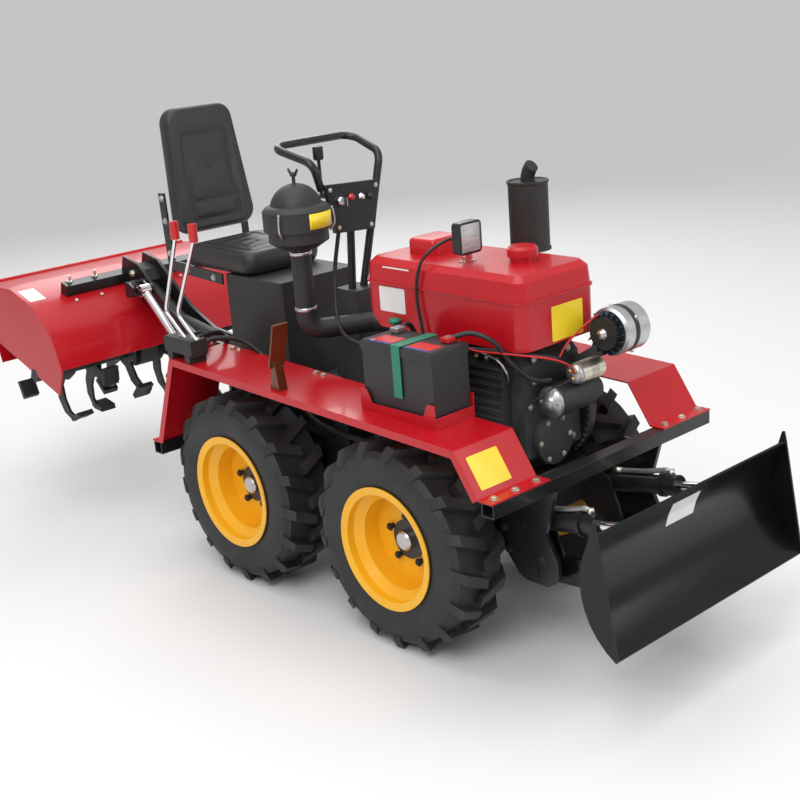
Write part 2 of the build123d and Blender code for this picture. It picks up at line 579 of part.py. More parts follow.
def tank_solid():
    lower = extrude(rounded_plan(0, TANK_SEAT_Z, TANK_CORNER_R), amount=TANK_BEAD_Z - TANK_SEAT_Z, dir=(0, 0, 1))
    cut = prism_y([(TANK_X[0] - OVERRUN, TANK_SEAT_Z - OVERRUN), (TANK_X[0] + TANK_REAR_CUT, TANK_SEAT_Z - OVERRUN),
                   (TANK_X[0] - OVERRUN, TANK_SEAT_Z + TANK_REAR_CUT)], TANK_Y[0] - OVERRUN, TANK_Y[1] + OVERRUN)
    lower -= cut
    bead = extrude(rounded_plan(TANK_BEAD, TANK_BEAD_Z, TANK_CORNER_R + TANK_BEAD), amount=TANK_BEAD, dir=(0, 0, 1))
    low = rounded_plan(0, TANK_BEAD_Z + TANK_BEAD, TANK_CORNER_R)
    shoulder = rounded_plan(-TANK_BEAD, TANK_TOP_Z - TANK_TOP_DRAW, TANK_CORNER_R - TANK_BEAD)
    roof = rounded_plan(-TANK_BEAD - TANK_TOP_DRAW, TANK_TOP_Z, TANK_CORNER_R - TANK_BEAD - TANK_TOP_DRAW / 2)
    upper = loft([low, shoulder], ruled=True) + loft([shoulder, roof], ruled=True)
    tank = lower + bead + upper
    x, y = HOPPER_AT
    hx, hy = HOPPER_HALF
    hopper = block(x - hx, x + hx, y - hy, y + hy, TANK_TOP_Z, TANK_TOP_Z + HOPPER_H)
    hopper = fillet(hopper.edges().filter_by(Axis.Z), hx / 3)
    hopper = fillet(hopper.faces().sort_by(Axis.Z)[-1].edges(), HOPPER_H / 3)
    neck = disc_z(CAP_NECK_R, TANK_TOP_Z, TANK_TOP_Z + CAP_NECK_H, *CAP_AT)
    return tank + hopper + neck


def fuel_cap_solid():
    z0 = TANK_TOP_Z + CAP_NECK_H
    cap = disc_z(CAP_R, z0, z0 + CAP_H, *CAP_AT)
    return chamfer(cap.faces().sort_by(Axis.Z)[-1].edges(), CAP_H / 4)


# Muffler on the far side, and the oil-bath air cleaner on the near side

MUFFLER_AT = (356, 195)
MUFFLER_R = 54
MUFFLER_Z = (970, 1158)
MUFFLER_RIM = 3
EXHAUST_R = 18
EXHAUST_LOW_Z = 730
EXHAUST_PORT_X = 130
EXHAUST_BEND = 40
OUTLET_R = 19
OUTLET_RISE = 58
OUTLET_TURN_R = 60


def muffler_solid():
    x, y = MUFFLER_AT
    z0, z1 = MUFFLER_Z
    rim, r = MUFFLER_RIM, MUFFLER_R
    body = turned_z([(0, z0), (r + rim, z0), (r + rim, z0 + 2 * rim), (r, z0 + 3 * rim), (r, z1 - 3 * rim),
                     (r + rim, z1 - 2 * rim), (r + rim, z1), (r - rim, z1), (r - 2 * rim, z1 - rim),
                     (0, z1 - rim)], x, y)
    feed = tube([(x, y, z0 + rim), (x, y, EXHAUST_LOW_Z), (EXHAUST_PORT_X, y, EXHAUST_LOW_Z),
                 (EXHAUST_PORT_X, CYLINDER_HALF_Y, EXHAUST_LOW_Z)], EXHAUST_R, EXHAUST_BEND)
    top = z1 - rim
    path = Wire([Line((x, y, top - OVERRUN), (x, y, top)).edge(),
                 ThreePointArc((x, y, top),
                               (x + OUTLET_TURN_R * (1 - math.cos(math.pi / 8)), y,
                                top + OUTLET_TURN_R * math.sin(math.pi / 8)),
                               (x + OUTLET_TURN_R * (1 - math.cos(math.pi / 4)), y,
                                top + OUTLET_TURN_R * math.sin(math.pi / 4))).edge()])
    outlet = sweep(Plane(origin=(x, y, top - OVERRUN)) * Circle(OUTLET_R), path=path)
    return body + feed + outlet


CLEANER_AT = (-140, -207)
CLEANER_R = 96
CLEANER_Z = (1004, 1058, 1122)
CLEANER_BOWL_R = 84
CLEANER_NECK_R = 52
CLEANER_DOME_R = 72
CLEANER_DOME_H = 56
CLEANER_LIP = 10
INTAKE_R = 29
INTAKE_TURN_Z = 766
INTAKE_BEND = 46
INTAKE_END_Y = -24
INTAKE_TURN_X = -38


def air_cleaner_solid():
    x, y = CLEANER_AT
    z0, z1, z2 = CLEANER_Z
    body = turned_z([(0, z0), (CLEANER_NECK_R, z0), (CLEANER_BOWL_R, z0 + CLEANER_LIP * 2), (CLEANER_BOWL_R, z1),
                     (CLEANER_R, z1), (CLEANER_R, z2 - CLEANER_LIP), (CLEANER_R - CLEANER_LIP, z2),
                     (CLEANER_DOME_R, z2 + CLEANER_LIP / 2), (0, z2 + CLEANER_LIP / 2)], x, y)
    ball = (CLEANER_DOME_R ** 2 + CLEANER_DOME_H ** 2) / (2 * CLEANER_DOME_H)
    base = z2 + CLEANER_LIP / 2
    dome = Pos(x, y, base + CLEANER_DOME_H - ball) * Sphere(ball)
    dome &= block(x - CLEANER_R, x + CLEANER_R, y - CLEANER_R, y + CLEANER_R, base, base + CLEANER_DOME_H + OVERRUN)
    stud = disc_z(CLEANER_LIP / 2, base, base + CLEANER_DOME_H + CLEANER_LIP * 1.5, x, y)
    pipe = tube([(x, y, z0 + OVERRUN), (x, y, INTAKE_TURN_Z), (INTAKE_TURN_X, INTAKE_END_Y, INTAKE_TURN_Z),
                 (CYLINDER_X[0] - HEAD_THICK - CLEAR, INTAKE_END_Y, INTAKE_TURN_Z)], INTAKE_R, INTAKE_BEND)
    return body + dome + stud + pipe


# Electrics on the engine's front: alternator with its fan pulley, starter with its solenoid

ALTERNATOR_AT = (708, 812)
ALTERNATOR_R = 62
ALTERNATOR_Y = (84, 182)
PULLEY_R = 42
PULLEY_Y = (62, 80)
FAN_R = 56
BRACKET_BAR = 14
STARTER_AT = (640, 655)
STARTER_R = 42
STARTER_Y = (-62, 72)
STARTER_NOSE_R = 32
SOLENOID_AT = (676, 722)
SOLENOID_R = 27
SOLENOID_Y = (-6, 78)


def alternator_solid():
    x, z = ALTERNATOR_AT
    y0, y1 = ALTERNATOR_Y
    body = disc_y(ALTERNATOR_R, y0, y1, x, z)
    body = chamfer(body.edges().filter_by(GeomType.CIRCLE), BRACKET_BAR / 2)
    body += disc_y(FAN_R, PULLEY_Y[1], y0, x, z)
    body += disc_y(PULLEY_R, *PULLEY_Y, x, z)
    low = CRANKCASE_X[1] - ENGINE_EDGE
    seat_z = CRANKCASE_Z[1] - 4 * ENGINE_EDGE
    link = [(x - ALTERNATOR_R / 2, z - ALTERNATOR_R / 2), (x + ALTERNATOR_R / 2, z - ALTERNATOR_R / 2),
            (CRANKCASE_X[1], seat_z - 2 * BRACKET_BAR), (CRANKCASE_X[1], seat_z + BRACKET_BAR)]
    strap = prism_y(link, CRANKCASE_Y[1] - BRACKET_BAR, CRANKCASE_Y[1])
    return body + strap


def starter_solid():
    body = disc_y(STARTER_R, *STARTER_Y, *STARTER_AT)
    body = chamfer(body.faces().sort_by(Axis.Y)[0].edges(), BRACKET_BAR / 2)
    y1 = FLYWHEEL_Y[0] - OVERRUN
    body += disc_y(STARTER_NOSE_R, STARTER_Y[1], y1, *STARTER_AT)
    solenoid = disc_y(SOLENOID_R, *SOLENOID_Y, *SOLENOID_AT)
    saddle = prism_y([(STARTER_AT[0], STARTER_AT[1] - BRACKET_BAR), (STARTER_AT[0] + STARTER_R / 2, STARTER_AT[1]),
                      (SOLENOID_AT[0] + SOLENOID_R / 2, SOLENOID_AT[1]),
                      (SOLENOID_AT[0] - SOLENOID_R / 2, SOLENOID_AT[1])],
                     SOLENOID_Y[0] + BRACKET_BAR, SOLENOID_Y[1])
    foot = block(CRANKCASE_X[1], STARTER_AT[0], STARTER_Y[1] - BRACKET_BAR, STARTER_Y[1],
                 STARTER_AT[1] - STARTER_R / 2, STARTER_AT[1] + STARTER_R)
    return body + solenoid + saddle + foot


# Battery on the right fender, in a folded tray with triangular corner tabs

BATTERY_X = (262, 518)
BATTERY_Y = (-352, -228)
BATTERY_H = 182
BATTERY_LID_H = 26
BATTERY_LID_GROW = 3
TERMINAL_R = 9
TERMINAL_H = 16
TRAY_MARGIN = 9
TRAY_SHEET = 3
TRAY_LIP = 18
TRAY_TAB = 52


def tray_z():
    return fender_top_z(BATTERY_X[0] - TRAY_MARGIN)


def battery_solid():
    z0 = tray_z() + TRAY_SHEET + CLEAR
    z1 = z0 + BATTERY_H
    grow = BATTERY_LID_GROW
    box = block(*BATTERY_X, *BATTERY_Y, z0, z1 - BATTERY_LID_H)
    lid = block(BATTERY_X[0] - grow, BATTERY_X[1] + grow, BATTERY_Y[0] - grow, BATTERY_Y[1] + grow,
                z1 - BATTERY_LID_H, z1)
    lid = chamfer(lid.faces().sort_by(Axis.Z)[-1].edges(), grow * 2)
    battery = box + lid
    for x in (BATTERY_X[0] + 4 * TERMINAL_R, BATTERY_X[1] - 4 * TERMINAL_R):
        battery += disc_z(TERMINAL_R, z1, z1 + TERMINAL_H, x, BATTERY_Y[1] - 3 * TERMINAL_R)
    return battery


def tray_solid():
    x0, x1 = BATTERY_X[0] - TRAY_MARGIN, BATTERY_X[1] + TRAY_MARGIN
    y0, y1 = BATTERY_Y[0] - TRAY_MARGIN, BATTERY_Y[1] + TRAY_MARGIN / 2
    z = tray_z()
    base = prism_y([(x0, fender_top_z(x0)), (x1, fender_top_z(x1)), (x1, z + TRAY_SHEET), (x0, z + TRAY_SHEET)],
                   y0, y1)
    floor_z = z + TRAY_SHEET
    for y in (y0, y1 - TRAY_SHEET):
        base += block(x0, x1, y, y + TRAY_SHEET, floor_z, floor_z + TRAY_LIP)
        for x, run in ((x0, 1), (x1, -1)):
            base += prism_y([(x, floor_z), (x + run * TRAY_TAB, floor_z), (x + run * TRAY_TAB / 2, floor_z + TRAY_TAB),
                             (x, floor_z + TRAY_TAB)], y, y + TRAY_SHEET)
    for x in (x0, x1 - TRAY_SHEET):
        base += block(x, x + TRAY_SHEET, y0, y1, floor_z, floor_z + TRAY_LIP)
    return base


# Work lamp on the tank

LAMP_AT = (372, -64)
LAMP_HALF_Y = 40
LAMP_HALF_Z = 42
LAMP_DEPTH = 34
LAMP_RISE = 22
LAMP_BEZEL = 6


def lamp_solid():
    x, y = LAMP_AT
    z0 = TANK_TOP_Z + LAMP_RISE
    back, front = x - LAMP_DEPTH / 2, x + LAMP_DEPTH / 2
    middle_z = z0 + LAMP_HALF_Z
    shell = block(back + LAMP_BEZEL, front, y - LAMP_HALF_Y, y + LAMP_HALF_Y, z0, z0 + 2 * LAMP_HALF_Z)
    shell = fillet(shell.edges().filter_by(Axis.X), LAMP_BEZEL * 2)
    shell -= block(front - LAMP_BEZEL / 2, front + OVERRUN, y - LAMP_HALF_Y + LAMP_BEZEL, y + LAMP_HALF_Y - LAMP_BEZEL,
                   z0 + LAMP_BEZEL, z0 + 2 * LAMP_HALF_Z - LAMP_BEZEL)
    bowl = loft([(Plane(origin=(back + LAMP_BEZEL, y, middle_z), z_dir=(-1, 0, 0))
                  * Rectangle(2 * LAMP_HALF_Z * 0.8, 2 * LAMP_HALF_Y * 0.8)).face(),
                 (Plane(origin=(back - LAMP_DEPTH / 3, y, middle_z), z_dir=(-1, 0, 0))
                  * Rectangle(LAMP_HALF_Z * 0.8, LAMP_HALF_Y * 0.8)).face()])
    stem = block(x - LAMP_BEZEL, x + LAMP_BEZEL, y - LAMP_HALF_Y / 3, y + LAMP_HALF_Y / 3, TANK_TOP_Z, z0 + LAMP_BEZEL)
    foot = block(x - 2 * LAMP_BEZEL, x + 2 * LAMP_BEZEL, y - LAMP_HALF_Y / 2, y + LAMP_HALF_Y / 2, TANK_TOP_Z,
                 TANK_TOP_Z + LAMP_BEZEL / 2)
    return shell + bowl + stem + foot


# Handle frame: a bent grab loop with the switch panel, on the gearbox tower

HANDLE_R = 11.5
HANDLE_BEND = 40
HANDLE_X = -152
PANEL_X = (-141, -127)
HANDLE_FOOT_Z = TOWER_TOP_Z
HANDLE_POINTS = [(HANDLE_X, -104, 1146), (HANDLE_X, -125, 1222), (HANDLE_X - 154, -150, 1266),
                 (HANDLE_X - 154, 150, 1266), (HANDLE_X, 125, 1222), (HANDLE_X, 20, HANDLE_FOOT_Z - HANDLE_R)]
PANEL_OUTLINE = [(-108, 1162), (96, 1150), (62, 1012), (-84, 1022)]
LEG_TOP = (-8, 1030)
LEG_FOOT_Y = -22
LEVER_AT = (-176, -84)
LEVER_R = 5
LEVER_Z = (1120, 1232)
KNOB_R = 15
KNOB_H = 34


def handle_solid():
    loop = tube(HANDLE_POINTS, HANDLE_R, HANDLE_BEND)
    panel = prism_x(PANEL_OUTLINE, *PANEL_X)
    leg = tube([(HANDLE_X, *LEG_TOP), (HANDLE_X, LEG_FOOT_Y, HANDLE_FOOT_Z - HANDLE_R)], HANDLE_R, HANDLE_BEND)
    below = block(TOWER_REAR_X, TOWER_FRONT_X, -TOWER_HALF_Y, TOWER_HALF_Y, GEARBOX_TOP_Z, HANDLE_FOOT_Z)
    return loop + panel + leg - below


def gear_lever_solid():
    x, y = LEVER_AT
    rod = disc_z(LEVER_R, *LEVER_Z, x, y)
    knob = disc_z(KNOB_R, LEVER_Z[1] - LEVER_R, LEVER_Z[1] + KNOB_H, x, y)
    knob = fillet(knob.edges().filter_by(GeomType.CIRCLE), KNOB_R / 3)
    foot = block(x - LEVER_R, PANEL_X[0], y - LEVER_R, y + LEVER_R, LEVER_Z[0], LEVER_Z[0] + 3 * LEVER_R)
    return rod + knob + foot


# Seat: a steel box, side straps, and two padded cushions

SEAT_HALF_Y = 149
SEAT_BOX_X = (-612, -330)
SEAT_BOX_Z = (GEARBOX_TOP_Z, 866)
SEAT_BOX_HALF_Y = 146
PAN_X = (-812, -478)
PAN_Z = (SEAT_BOX_Z[1] + CLEAR, 938)
PAN_EDGE = 24
BACK_FOOT = (-812, 968)
BACK_HEAD = (-866, 1362)
BACK_THICK = 62
BACK_EDGE = 22
STRAP_WIDTH = 34
STRAP_THICK = 6


def seat_box_solid():
    box = block(*SEAT_BOX_X, -SEAT_BOX_HALF_Y, SEAT_BOX_HALF_Y, *SEAT_BOX_Z)
    return chamfer(box.edges().filter_by(Axis.Z), STRAP_THICK)


def seat_pan_solid():
    pan = block(*PAN_X, -SEAT_HALF_Y, SEAT_HALF_Y, *PAN_Z)
    return fillet(pan.edges().filter_by(Axis.Y) + pan.edges().filter_by(Axis.Z), PAN_EDGE)


def seat_back_solid():
    (x0, z0), (x1, z1) = BACK_FOOT, BACK_HEAD
    back = prism_y([(x0, z0), (x1, z1), (x1 - BACK_THICK, z1), (x0 - BACK_THICK, z0)], -SEAT_HALF_Y, SEAT_HALF_Y)
    return fillet(back.edges().filter_by(Axis.Y), BACK_EDGE)


def seat_straps_solid():
    """An angled strap each side, from under the pan up the outside of the back, with a cross bar."""
    rear_x = BACK_FOOT[0] - BACK_THICK / 2
    low_z = PAN_Z[0] + STRAP_WIDTH
    lean = (BACK_HEAD[0] - BACK_FOOT[0]) / (BACK_HEAD[1] - BACK_FOOT[1])
    top_z = BACK_FOOT[1] + (BACK_HEAD[1] - BACK_FOOT[1]) / 3
    run = sheet_outline([(PAN_X[1] - 4 * STRAP_WIDTH, PAN_Z[0]), (rear_x - STRAP_WIDTH, PAN_Z[0] + STRAP_WIDTH / 2),
                         (rear_x - STRAP_WIDTH / 2 + lean * (top_z - low_z), top_z)], -STRAP_WIDTH)
    straps = None
    for side in (1, -1):
        y0 = side * (SEAT_HALF_Y + CLEAR)
        strap = prism_y(run, y0, y0 + side * STRAP_THICK)
        straps = strap if straps is None else straps + strap
    return straps


# Control valve with its two levers at the rear of the right fender, and the foot pedal

VALVE_X = (-560, -420)
VALVE_Y = (-424, -366)
VALVE_Z = (692, 740)
SPOOL_X = (-486, -426)
LEVER_BEND = (-576, 806)
LEVER_TOP = (-474, 1038)
CONTROL_ROD_R = 5.5
CONTROL_KNOB_R = 13
CONTROL_KNOB_H = 46
LEVER_STEP = 62


def valve_solid():
    y = (VALVE_Y[0] + VALVE_Y[1]) / 2
    body = block(*VALVE_X, *VALVE_Y, *VALVE_Z)
    body = chamfer(body.edges().filter_by(Axis.X), CONTROL_ROD_R)
    floor = min(fender_top_z(VALVE_X[1]), fender_top_z(VALVE_X[0]))
    foot_top = VALVE_Z[0] + CONTROL_ROD_R
    for x in (VALVE_X[0] + CONTROL_KNOB_R, VALVE_X[1] - 3 * CONTROL_KNOB_R):
        x1 = x + 2 * CONTROL_KNOB_R
        body += prism_y([(x, fender_top_z(x)), (x1, fender_top_z(x1)), (x1, foot_top), (x, foot_top)], *VALVE_Y)
    for i, x in enumerate(SPOOL_X):
        shift = i * LEVER_STEP
        top = (LEVER_TOP[0] + shift * 1.5, LEVER_TOP[1])
        points = [(x, y, VALVE_Z[1] - CONTROL_ROD_R), (LEVER_BEND[0] + shift, y, LEVER_BEND[1]), (top[0], y, top[1])]
        body += tube(points, CONTROL_ROD_R, CONTROL_KNOB_R * 2)
        body += disc_z(CONTROL_KNOB_R, top[1] - CONTROL_ROD_R, top[1] + CONTROL_KNOB_H, top[0], y)
    return body


PEDAL_Y = (-424, -372)
PEDAL_FOOT = (-52, 722)
PEDAL_HEAD = (-16, 846)
PEDAL_THICK = 7
PEDAL_STEM_X = (-66, -26)


def pedal_solid():
    run = sheet_outline([PEDAL_FOOT, PEDAL_HEAD], PEDAL_THICK)
    plate = prism_y(run, *PEDAL_Y)
    middle = (PEDAL_Y[0] + PEDAL_Y[1]) / 2
    x0, x1 = PEDAL_STEM_X
    stem = prism_y([(x0, fender_top_z(x0)), (x1, fender_top_z(x1)), (PEDAL_FOOT[0] + PEDAL_THICK * 2, PEDAL_FOOT[1] + 2 * PEDAL_THICK),
                    (PEDAL_FOOT[0], PEDAL_FOOT[1] + 2 * PEDAL_THICK)], middle - 2 * PEDAL_THICK, middle + 2 * PEDAL_THICK)
    return plate + stem


# Dozer blade: a rolled scoop with end plates, two arms, and a lift cylinder each side

BLADE_TOP = (1037, 503)
BLADE_FOOT = (1086, 210)
BLADE_DEPTH = 70
BLADE_SHEET = 6
BLADE_HALF_Y = 379
BLADE_ARCS = 10
EAR_TIP_RISE = 26
BLADE_EAR = 30
ARM_HALF_Y = 10
ARM_HEIGHT = 60
ARM_BOSS_R = 32
ARM_BOSS_HALF = 20
RAM_EYE = (950, 425)


def scoop_arc(depth):
    """Points along an arc that bows behind the blade's chord by depth, from its top to its foot."""
    (x0, z0), (x1, z1) = BLADE_TOP, BLADE_FOOT
    chord = math.hypot(x1 - x0, z1 - z0)
    radius = (chord ** 2 / 4 + depth ** 2) / (2 * depth)
    half = math.asin(chord / 2 / radius)
    ux, uz = (x1 - x0) / chord, (z1 - z0) / chord
    nx, nz = uz, -ux
    points = []
    for i in range(BLADE_ARCS + 1):
        angle = half * (2 * i / BLADE_ARCS - 1)
        along = chord / 2 + radius * math.sin(angle)
        bow = radius * math.cos(angle) - radius * math.cos(half)
        points.append((x0 + ux * along + nx * bow, z0 + uz * along + nz * bow))
    return points


def blade_solid():
    front = scoop_arc(BLADE_DEPTH)
    shell = sheet_outline(front, BLADE_SHEET)
    blade = prism_y(shell, -BLADE_HALF_Y, BLADE_HALF_Y)
    back = scoop_arc(BLADE_DEPTH + BLADE_SHEET)
    ear = [(BLADE_TOP[0], BLADE_TOP[1]), (BLADE_TOP[0] - BLADE_SHEET, BLADE_TOP[1] + EAR_TIP_RISE),
           (BLADE_TOP[0] - 2 * BLADE_SHEET, BLADE_TOP[1] + EAR_TIP_RISE)]
    for side in (1, -1):
        y0, y1 = side * (BLADE_HALF_Y - BLADE_SHEET), side * BLADE_HALF_Y
        blade += prism_y(ear + back[2:], y0, y1)
        y0, y1 = side * (LINK_Y - ARM_HALF_Y), side * (LINK_Y + ARM_HALF_Y)
        px, pz = ARM_PIVOT
        seam = scoop_arc(BLADE_DEPTH + BLADE_SHEET / 2)
        arm = prism_y([(px, pz - ARM_HEIGHT / 2), (px, pz + ARM_HEIGHT / 2)] + seam[BLADE_ARCS // 2:-2], y0, y1)
        boss = disc_y(ARM_BOSS_R, side * (LINK_Y - ARM_BOSS_HALF), side * (LINK_Y + ARM_BOSS_HALF), px, pz)
        blade += arm + boss
        blade -= disc_y(ARM_PIN_R + FIT, side * (LINK_Y - ARM_BOSS_HALF - OVERRUN),
                        side * (LINK_Y + ARM_BOSS_HALF + OVERRUN), px, pz)
        blade += fork_ears(RAM_EYE, seam[2:BLADE_ARCS // 2], side * LINK_Y, EAR_R - EAR_THICK, EAR_THICK,
                           EYE_HALF + SIDE_GAP)
        blade -= ear_bore(RAM_EYE, side * LINK_Y)
    cross_x = BLADE_TOP[0] - BLADE_DEPTH - ARM_HEIGHT
    blade += block(cross_x - ARM_HEIGHT / 2, cross_x + ARM_HEIGHT / 3, -LINK_Y, LINK_Y, ARM_PIVOT[1] - ARM_HEIGHT / 4,
                   ARM_PIVOT[1] + ARM_HEIGHT / 2)
    return blade


def ram_frame(foot, eye, y):
    """A plane at the ram's foot pin whose Z axis points along the ram and whose X axis is across."""
    return Plane(origin=(foot[0], y, foot[1]), x_dir=(0, 1, 0), z_dir=(eye[0] - foot[0], 0, eye[1] - foot[1]))


def ram_barrel(foot, eye, y, radius, rod_r, body, pin_r, bore_start):
    """The barrel of a hydraulic ram, from its foot eye to body along its axis, bored for the rod."""
    plane = ram_frame(foot, eye, y)
    lug = disc_y(pin_r * 1.85, y - EYE_HALF, y + EYE_HALF, *foot)
    shell = plane * Pos(0, 0, (body + pin_r * 1.5) / 2) * Cylinder(radius, body - pin_r * 1.5)
    gland = plane * Pos(0, 0, body - radius / 2) * Cylinder(radius + BLADE_SHEET / 2, radius)
    port = plane * Pos(0, 0, body - 2 * radius) * Rot(0, 0, 0) * Cylinder(radius + BLADE_SHEET, radius / 2)
    barrel = lug + shell + gland + port
    barrel -= disc_y(pin_r + FIT, y - EYE_HALF - OVERRUN, y + EYE_HALF + OVERRUN, *foot)
    return barrel - plane * Pos(0, 0, (bore_start + body + OVERRUN) / 2) * Cylinder(
        rod_r + FIT, body + OVERRUN - bore_start)


def ram_rod(foot, eye, y, rod_r, start, pin_r):
    """The rod, from inside the barrel to its eye, whose pin is left out: the linkage opens there."""
    plane = ram_frame(foot, eye, y)
    length = math.hypot(eye[0] - foot[0], eye[1] - foot[1])
    rod = plane * Pos(0, 0, (start + length) / 2) * Cylinder(rod_r, length - start)
    rod += disc_y(pin_r * 1.75, y - EYE_HALF, y + EYE_HALF, *eye)
    return rod - disc_y(pin_r, y - EYE_HALF - OVERRUN, y + EYE_HALF + OVERRUN, *eye)


BLADE_RAM_R = 25
BLADE_ROD_R = 12.5
BLADE_RAM_BODY = 225
BLADE_BORE_START = 40
BLADE_ROD_START = 100
TILLER_RAM_R = 28
TILLER_ROD_R = 14
TILLER_RAM_BODY = 400
TILLER_BORE_START = 60
TILLER_ROD_START = 300


# Tiller, drawn level about its rotor and then turned to the raised pose it parks in

ROTOR_AT = (-1425, 474)
PARKED_TILT = 17
TINE_R = 195
HOOD_HALF_Y = 430
HOOD_SHEET = 4
SIDE_SHEET = 6
HOOD_FRONT = (183, 108)
HOOD_BROW = (112, 200)
HOOD_TOP_FRONT = (-20, 260)
HOOD_TOP_REAR = (-165, 260)
HOOD_HINGE = (-348, 198)
SIDE_LOW_REAR = (-244, 12)
SIDE_LOW_FRONT = (169, 4)
BAR_SIDE = 40
BAR_X = (-66, -26)
BAR_HALF_Y = 290
ARM_PLATE_Y = (35, 47)
ARM_BOSS_GAP = 4
# The arm's upper and lower edge, from its pivot towards the rotor, as shares of the distance between the two
ARM_TOP_SHARES = ((0.3946, 0.0844), (0.5714, 0.166), (0.7075, 0.2721), (0.8163, 0.3646), (0.9388, 0.3918))
ARM_LOW_SHARES = ((0.6122, 0.0544), (0.3946, -0.0354))
DRIVE_SHARES = ((0.585, 0.098), (0.1224, 0.0218))
TILLER_EYE = (-1190, 735)


def parked(x, z):
    """A tiller point, given from the rotor's axis with the tiller level, in the parked machine."""
    return rotated(ROTOR_AT[0] + x, ROTOR_AT[1] + z, ROTOR_AT, PARKED_TILT)


def hood_solid():
    path = [parked(*p) for p in (HOOD_HINGE, HOOD_TOP_REAR, HOOD_TOP_FRONT, HOOD_BROW, HOOD_FRONT)]
    hood = prism_y(sheet_outline(path, HOOD_SHEET), -HOOD_HALF_Y, HOOD_HALF_Y)
    plate = path + [parked(*SIDE_LOW_FRONT), parked(*SIDE_LOW_REAR)]
    for side in (1, -1):
        hood += prism_y(plate, side * (HOOD_HALF_Y - SIDE_SHEET), side * HOOD_HALF_Y)
        hood -= disc_y(SHAFT_R + FIT, side * (HOOD_HALF_Y - 2 * SIDE_SHEET), side * (HOOD_HALF_Y + OVERRUN),
                       *ROTOR_AT)
    slot = [parked(CASE_HALF_X + CLEAR, HOOD_BROW[1]), parked(CASE_HALF_X + CLEAR, 2 * HOOD_TOP_FRONT[1]),
            parked(-CASE_HALF_X - CLEAR, 2 * HOOD_TOP_FRONT[1]), parked(-CASE_HALF_X - CLEAR, HOOD_BROW[1])]
    hood -= prism_y(slot, -CASE_HALF_Y - CLEAR, CASE_HALF_Y + CLEAR)
    return hood


CASE_HALF_X = 62
CASE_HALF_Y = 35
CASE_TOP = 330
DRIVE_TUBE_R = 30
SHAFT_R = 24
FLANGE_R = 62
FLANGE_THICK = 8
FLANGE_INNER_Y = 60
FLANGE_END_GAP = 80
# The rotor's flanges: side, share of the way from the inner place to the outer one, and the side to which
# the tines bend (0 takes both in turn)
FLANGE_SHARES = ((-1, 1, 0), (-1, 0.5, 0), (-1, 0, -1), (1, 0, 1), (1, 0.5, 0), (1, 1, 0))
TINES = 4
TINE_THICK = 9
TINE_WIDTH = 46
TINE_WING = 58
TINE_LEAD = 34


def behind_pivot(shares):
    """Points given from the lift pivot rearwards and upwards, as shares of the way to the rotor."""
    reach = LIFT_PIVOT[0] - ROTOR_AT[0]
    return [(LIFT_PIVOT[0] - back * reach, LIFT_PIVOT[1] + up * reach) for back, up in shares]


def tiller_arm_solid():
    bar = [parked(BAR_X[0], HOOD_TOP_FRONT[1]), parked(BAR_X[1], HOOD_TOP_FRONT[1]),
           parked(BAR_X[1], HOOD_TOP_FRONT[1] + BAR_SIDE), parked(BAR_X[0], HOOD_TOP_FRONT[1] + BAR_SIDE)]
    arm = prism_y(bar, -BAR_HALF_Y, BAR_HALF_Y)
    px, pz = LIFT_PIVOT
    boss = LIFT_EAR_R - ARM_BOSS_GAP
    outline = [(px, pz + boss), *behind_pivot(ARM_TOP_SHARES), parked(BAR_X[0], HOOD_TOP_FRONT[1]),
               parked(CASE_HALF_X, HOOD_TOP_FRONT[1]), *behind_pivot(ARM_LOW_SHARES), (px, pz - boss)]
    for side in (1, -1):
        y0, y1 = side * ARM_PLATE_Y[0], side * ARM_PLATE_Y[1]
        arm += prism_y(outline, y0, y1)
        arm += disc_y(boss, y0, y1, px, pz)
    arm -= disc_y(LIFT_PIN_R + FIT, -ARM_PLATE_Y[1] - OVERRUN, ARM_PLATE_Y[1] + OVERRUN, px, pz)
    ex, ez = TILLER_EYE
    gap = EYE_HALF + SIDE_GAP
    y_out = TILLER_RAM_Y - gap - EAR_THICK
    back = ex - EAR_R * 1.7
    arm += block(back - EAR_R, back, y_out, -ARM_PLATE_Y[0], ez - EAR_R, ez + EAR_R)
    root = [(back, ez - EAR_R), (back, ez + EAR_R)]
    arm += fork_ears(TILLER_EYE, root, TILLER_RAM_Y, EAR_R - EAR_THICK, EAR_THICK, gap)
    return arm - ear_bore(TILLER_EYE, TILLER_RAM_Y)


def drive_case_solid():
    bar_x, bar_z = BAR_X[1] + CLEAR, HOOD_TOP_FRONT[1] - HOOD_SHEET
    body = prism_y([parked(x, z) for x, z in ((CASE_HALF_X, 0), (CASE_HALF_X, CASE_TOP - CASE_HALF_X / 2),
                                              (CASE_HALF_X / 2, CASE_TOP), (bar_x, CASE_TOP), (bar_x, bar_z),
                                              (-CASE_HALF_X, bar_z), (-CASE_HALF_X, 0))],
                   -CASE_HALF_Y, CASE_HALF_Y)
    body += disc_y(CASE_HALF_X, -CASE_HALF_Y, CASE_HALF_Y, *ROTOR_AT)
    top = parked(CASE_HALF_X / 2, CASE_TOP - CASE_HALF_X)
    knee, near = behind_pivot(DRIVE_SHARES)
    drive = tube([(top[0], 0, top[1]), (knee[0], 0, knee[1]), (near[0], 0, near[1])], DRIVE_TUBE_R, 2 * DRIVE_TUBE_R)
    body += drive
    return body - disc_y(SHAFT_R + FIT, -CASE_HALF_Y - OVERRUN, CASE_HALF_Y + OVERRUN, *ROTOR_AT)


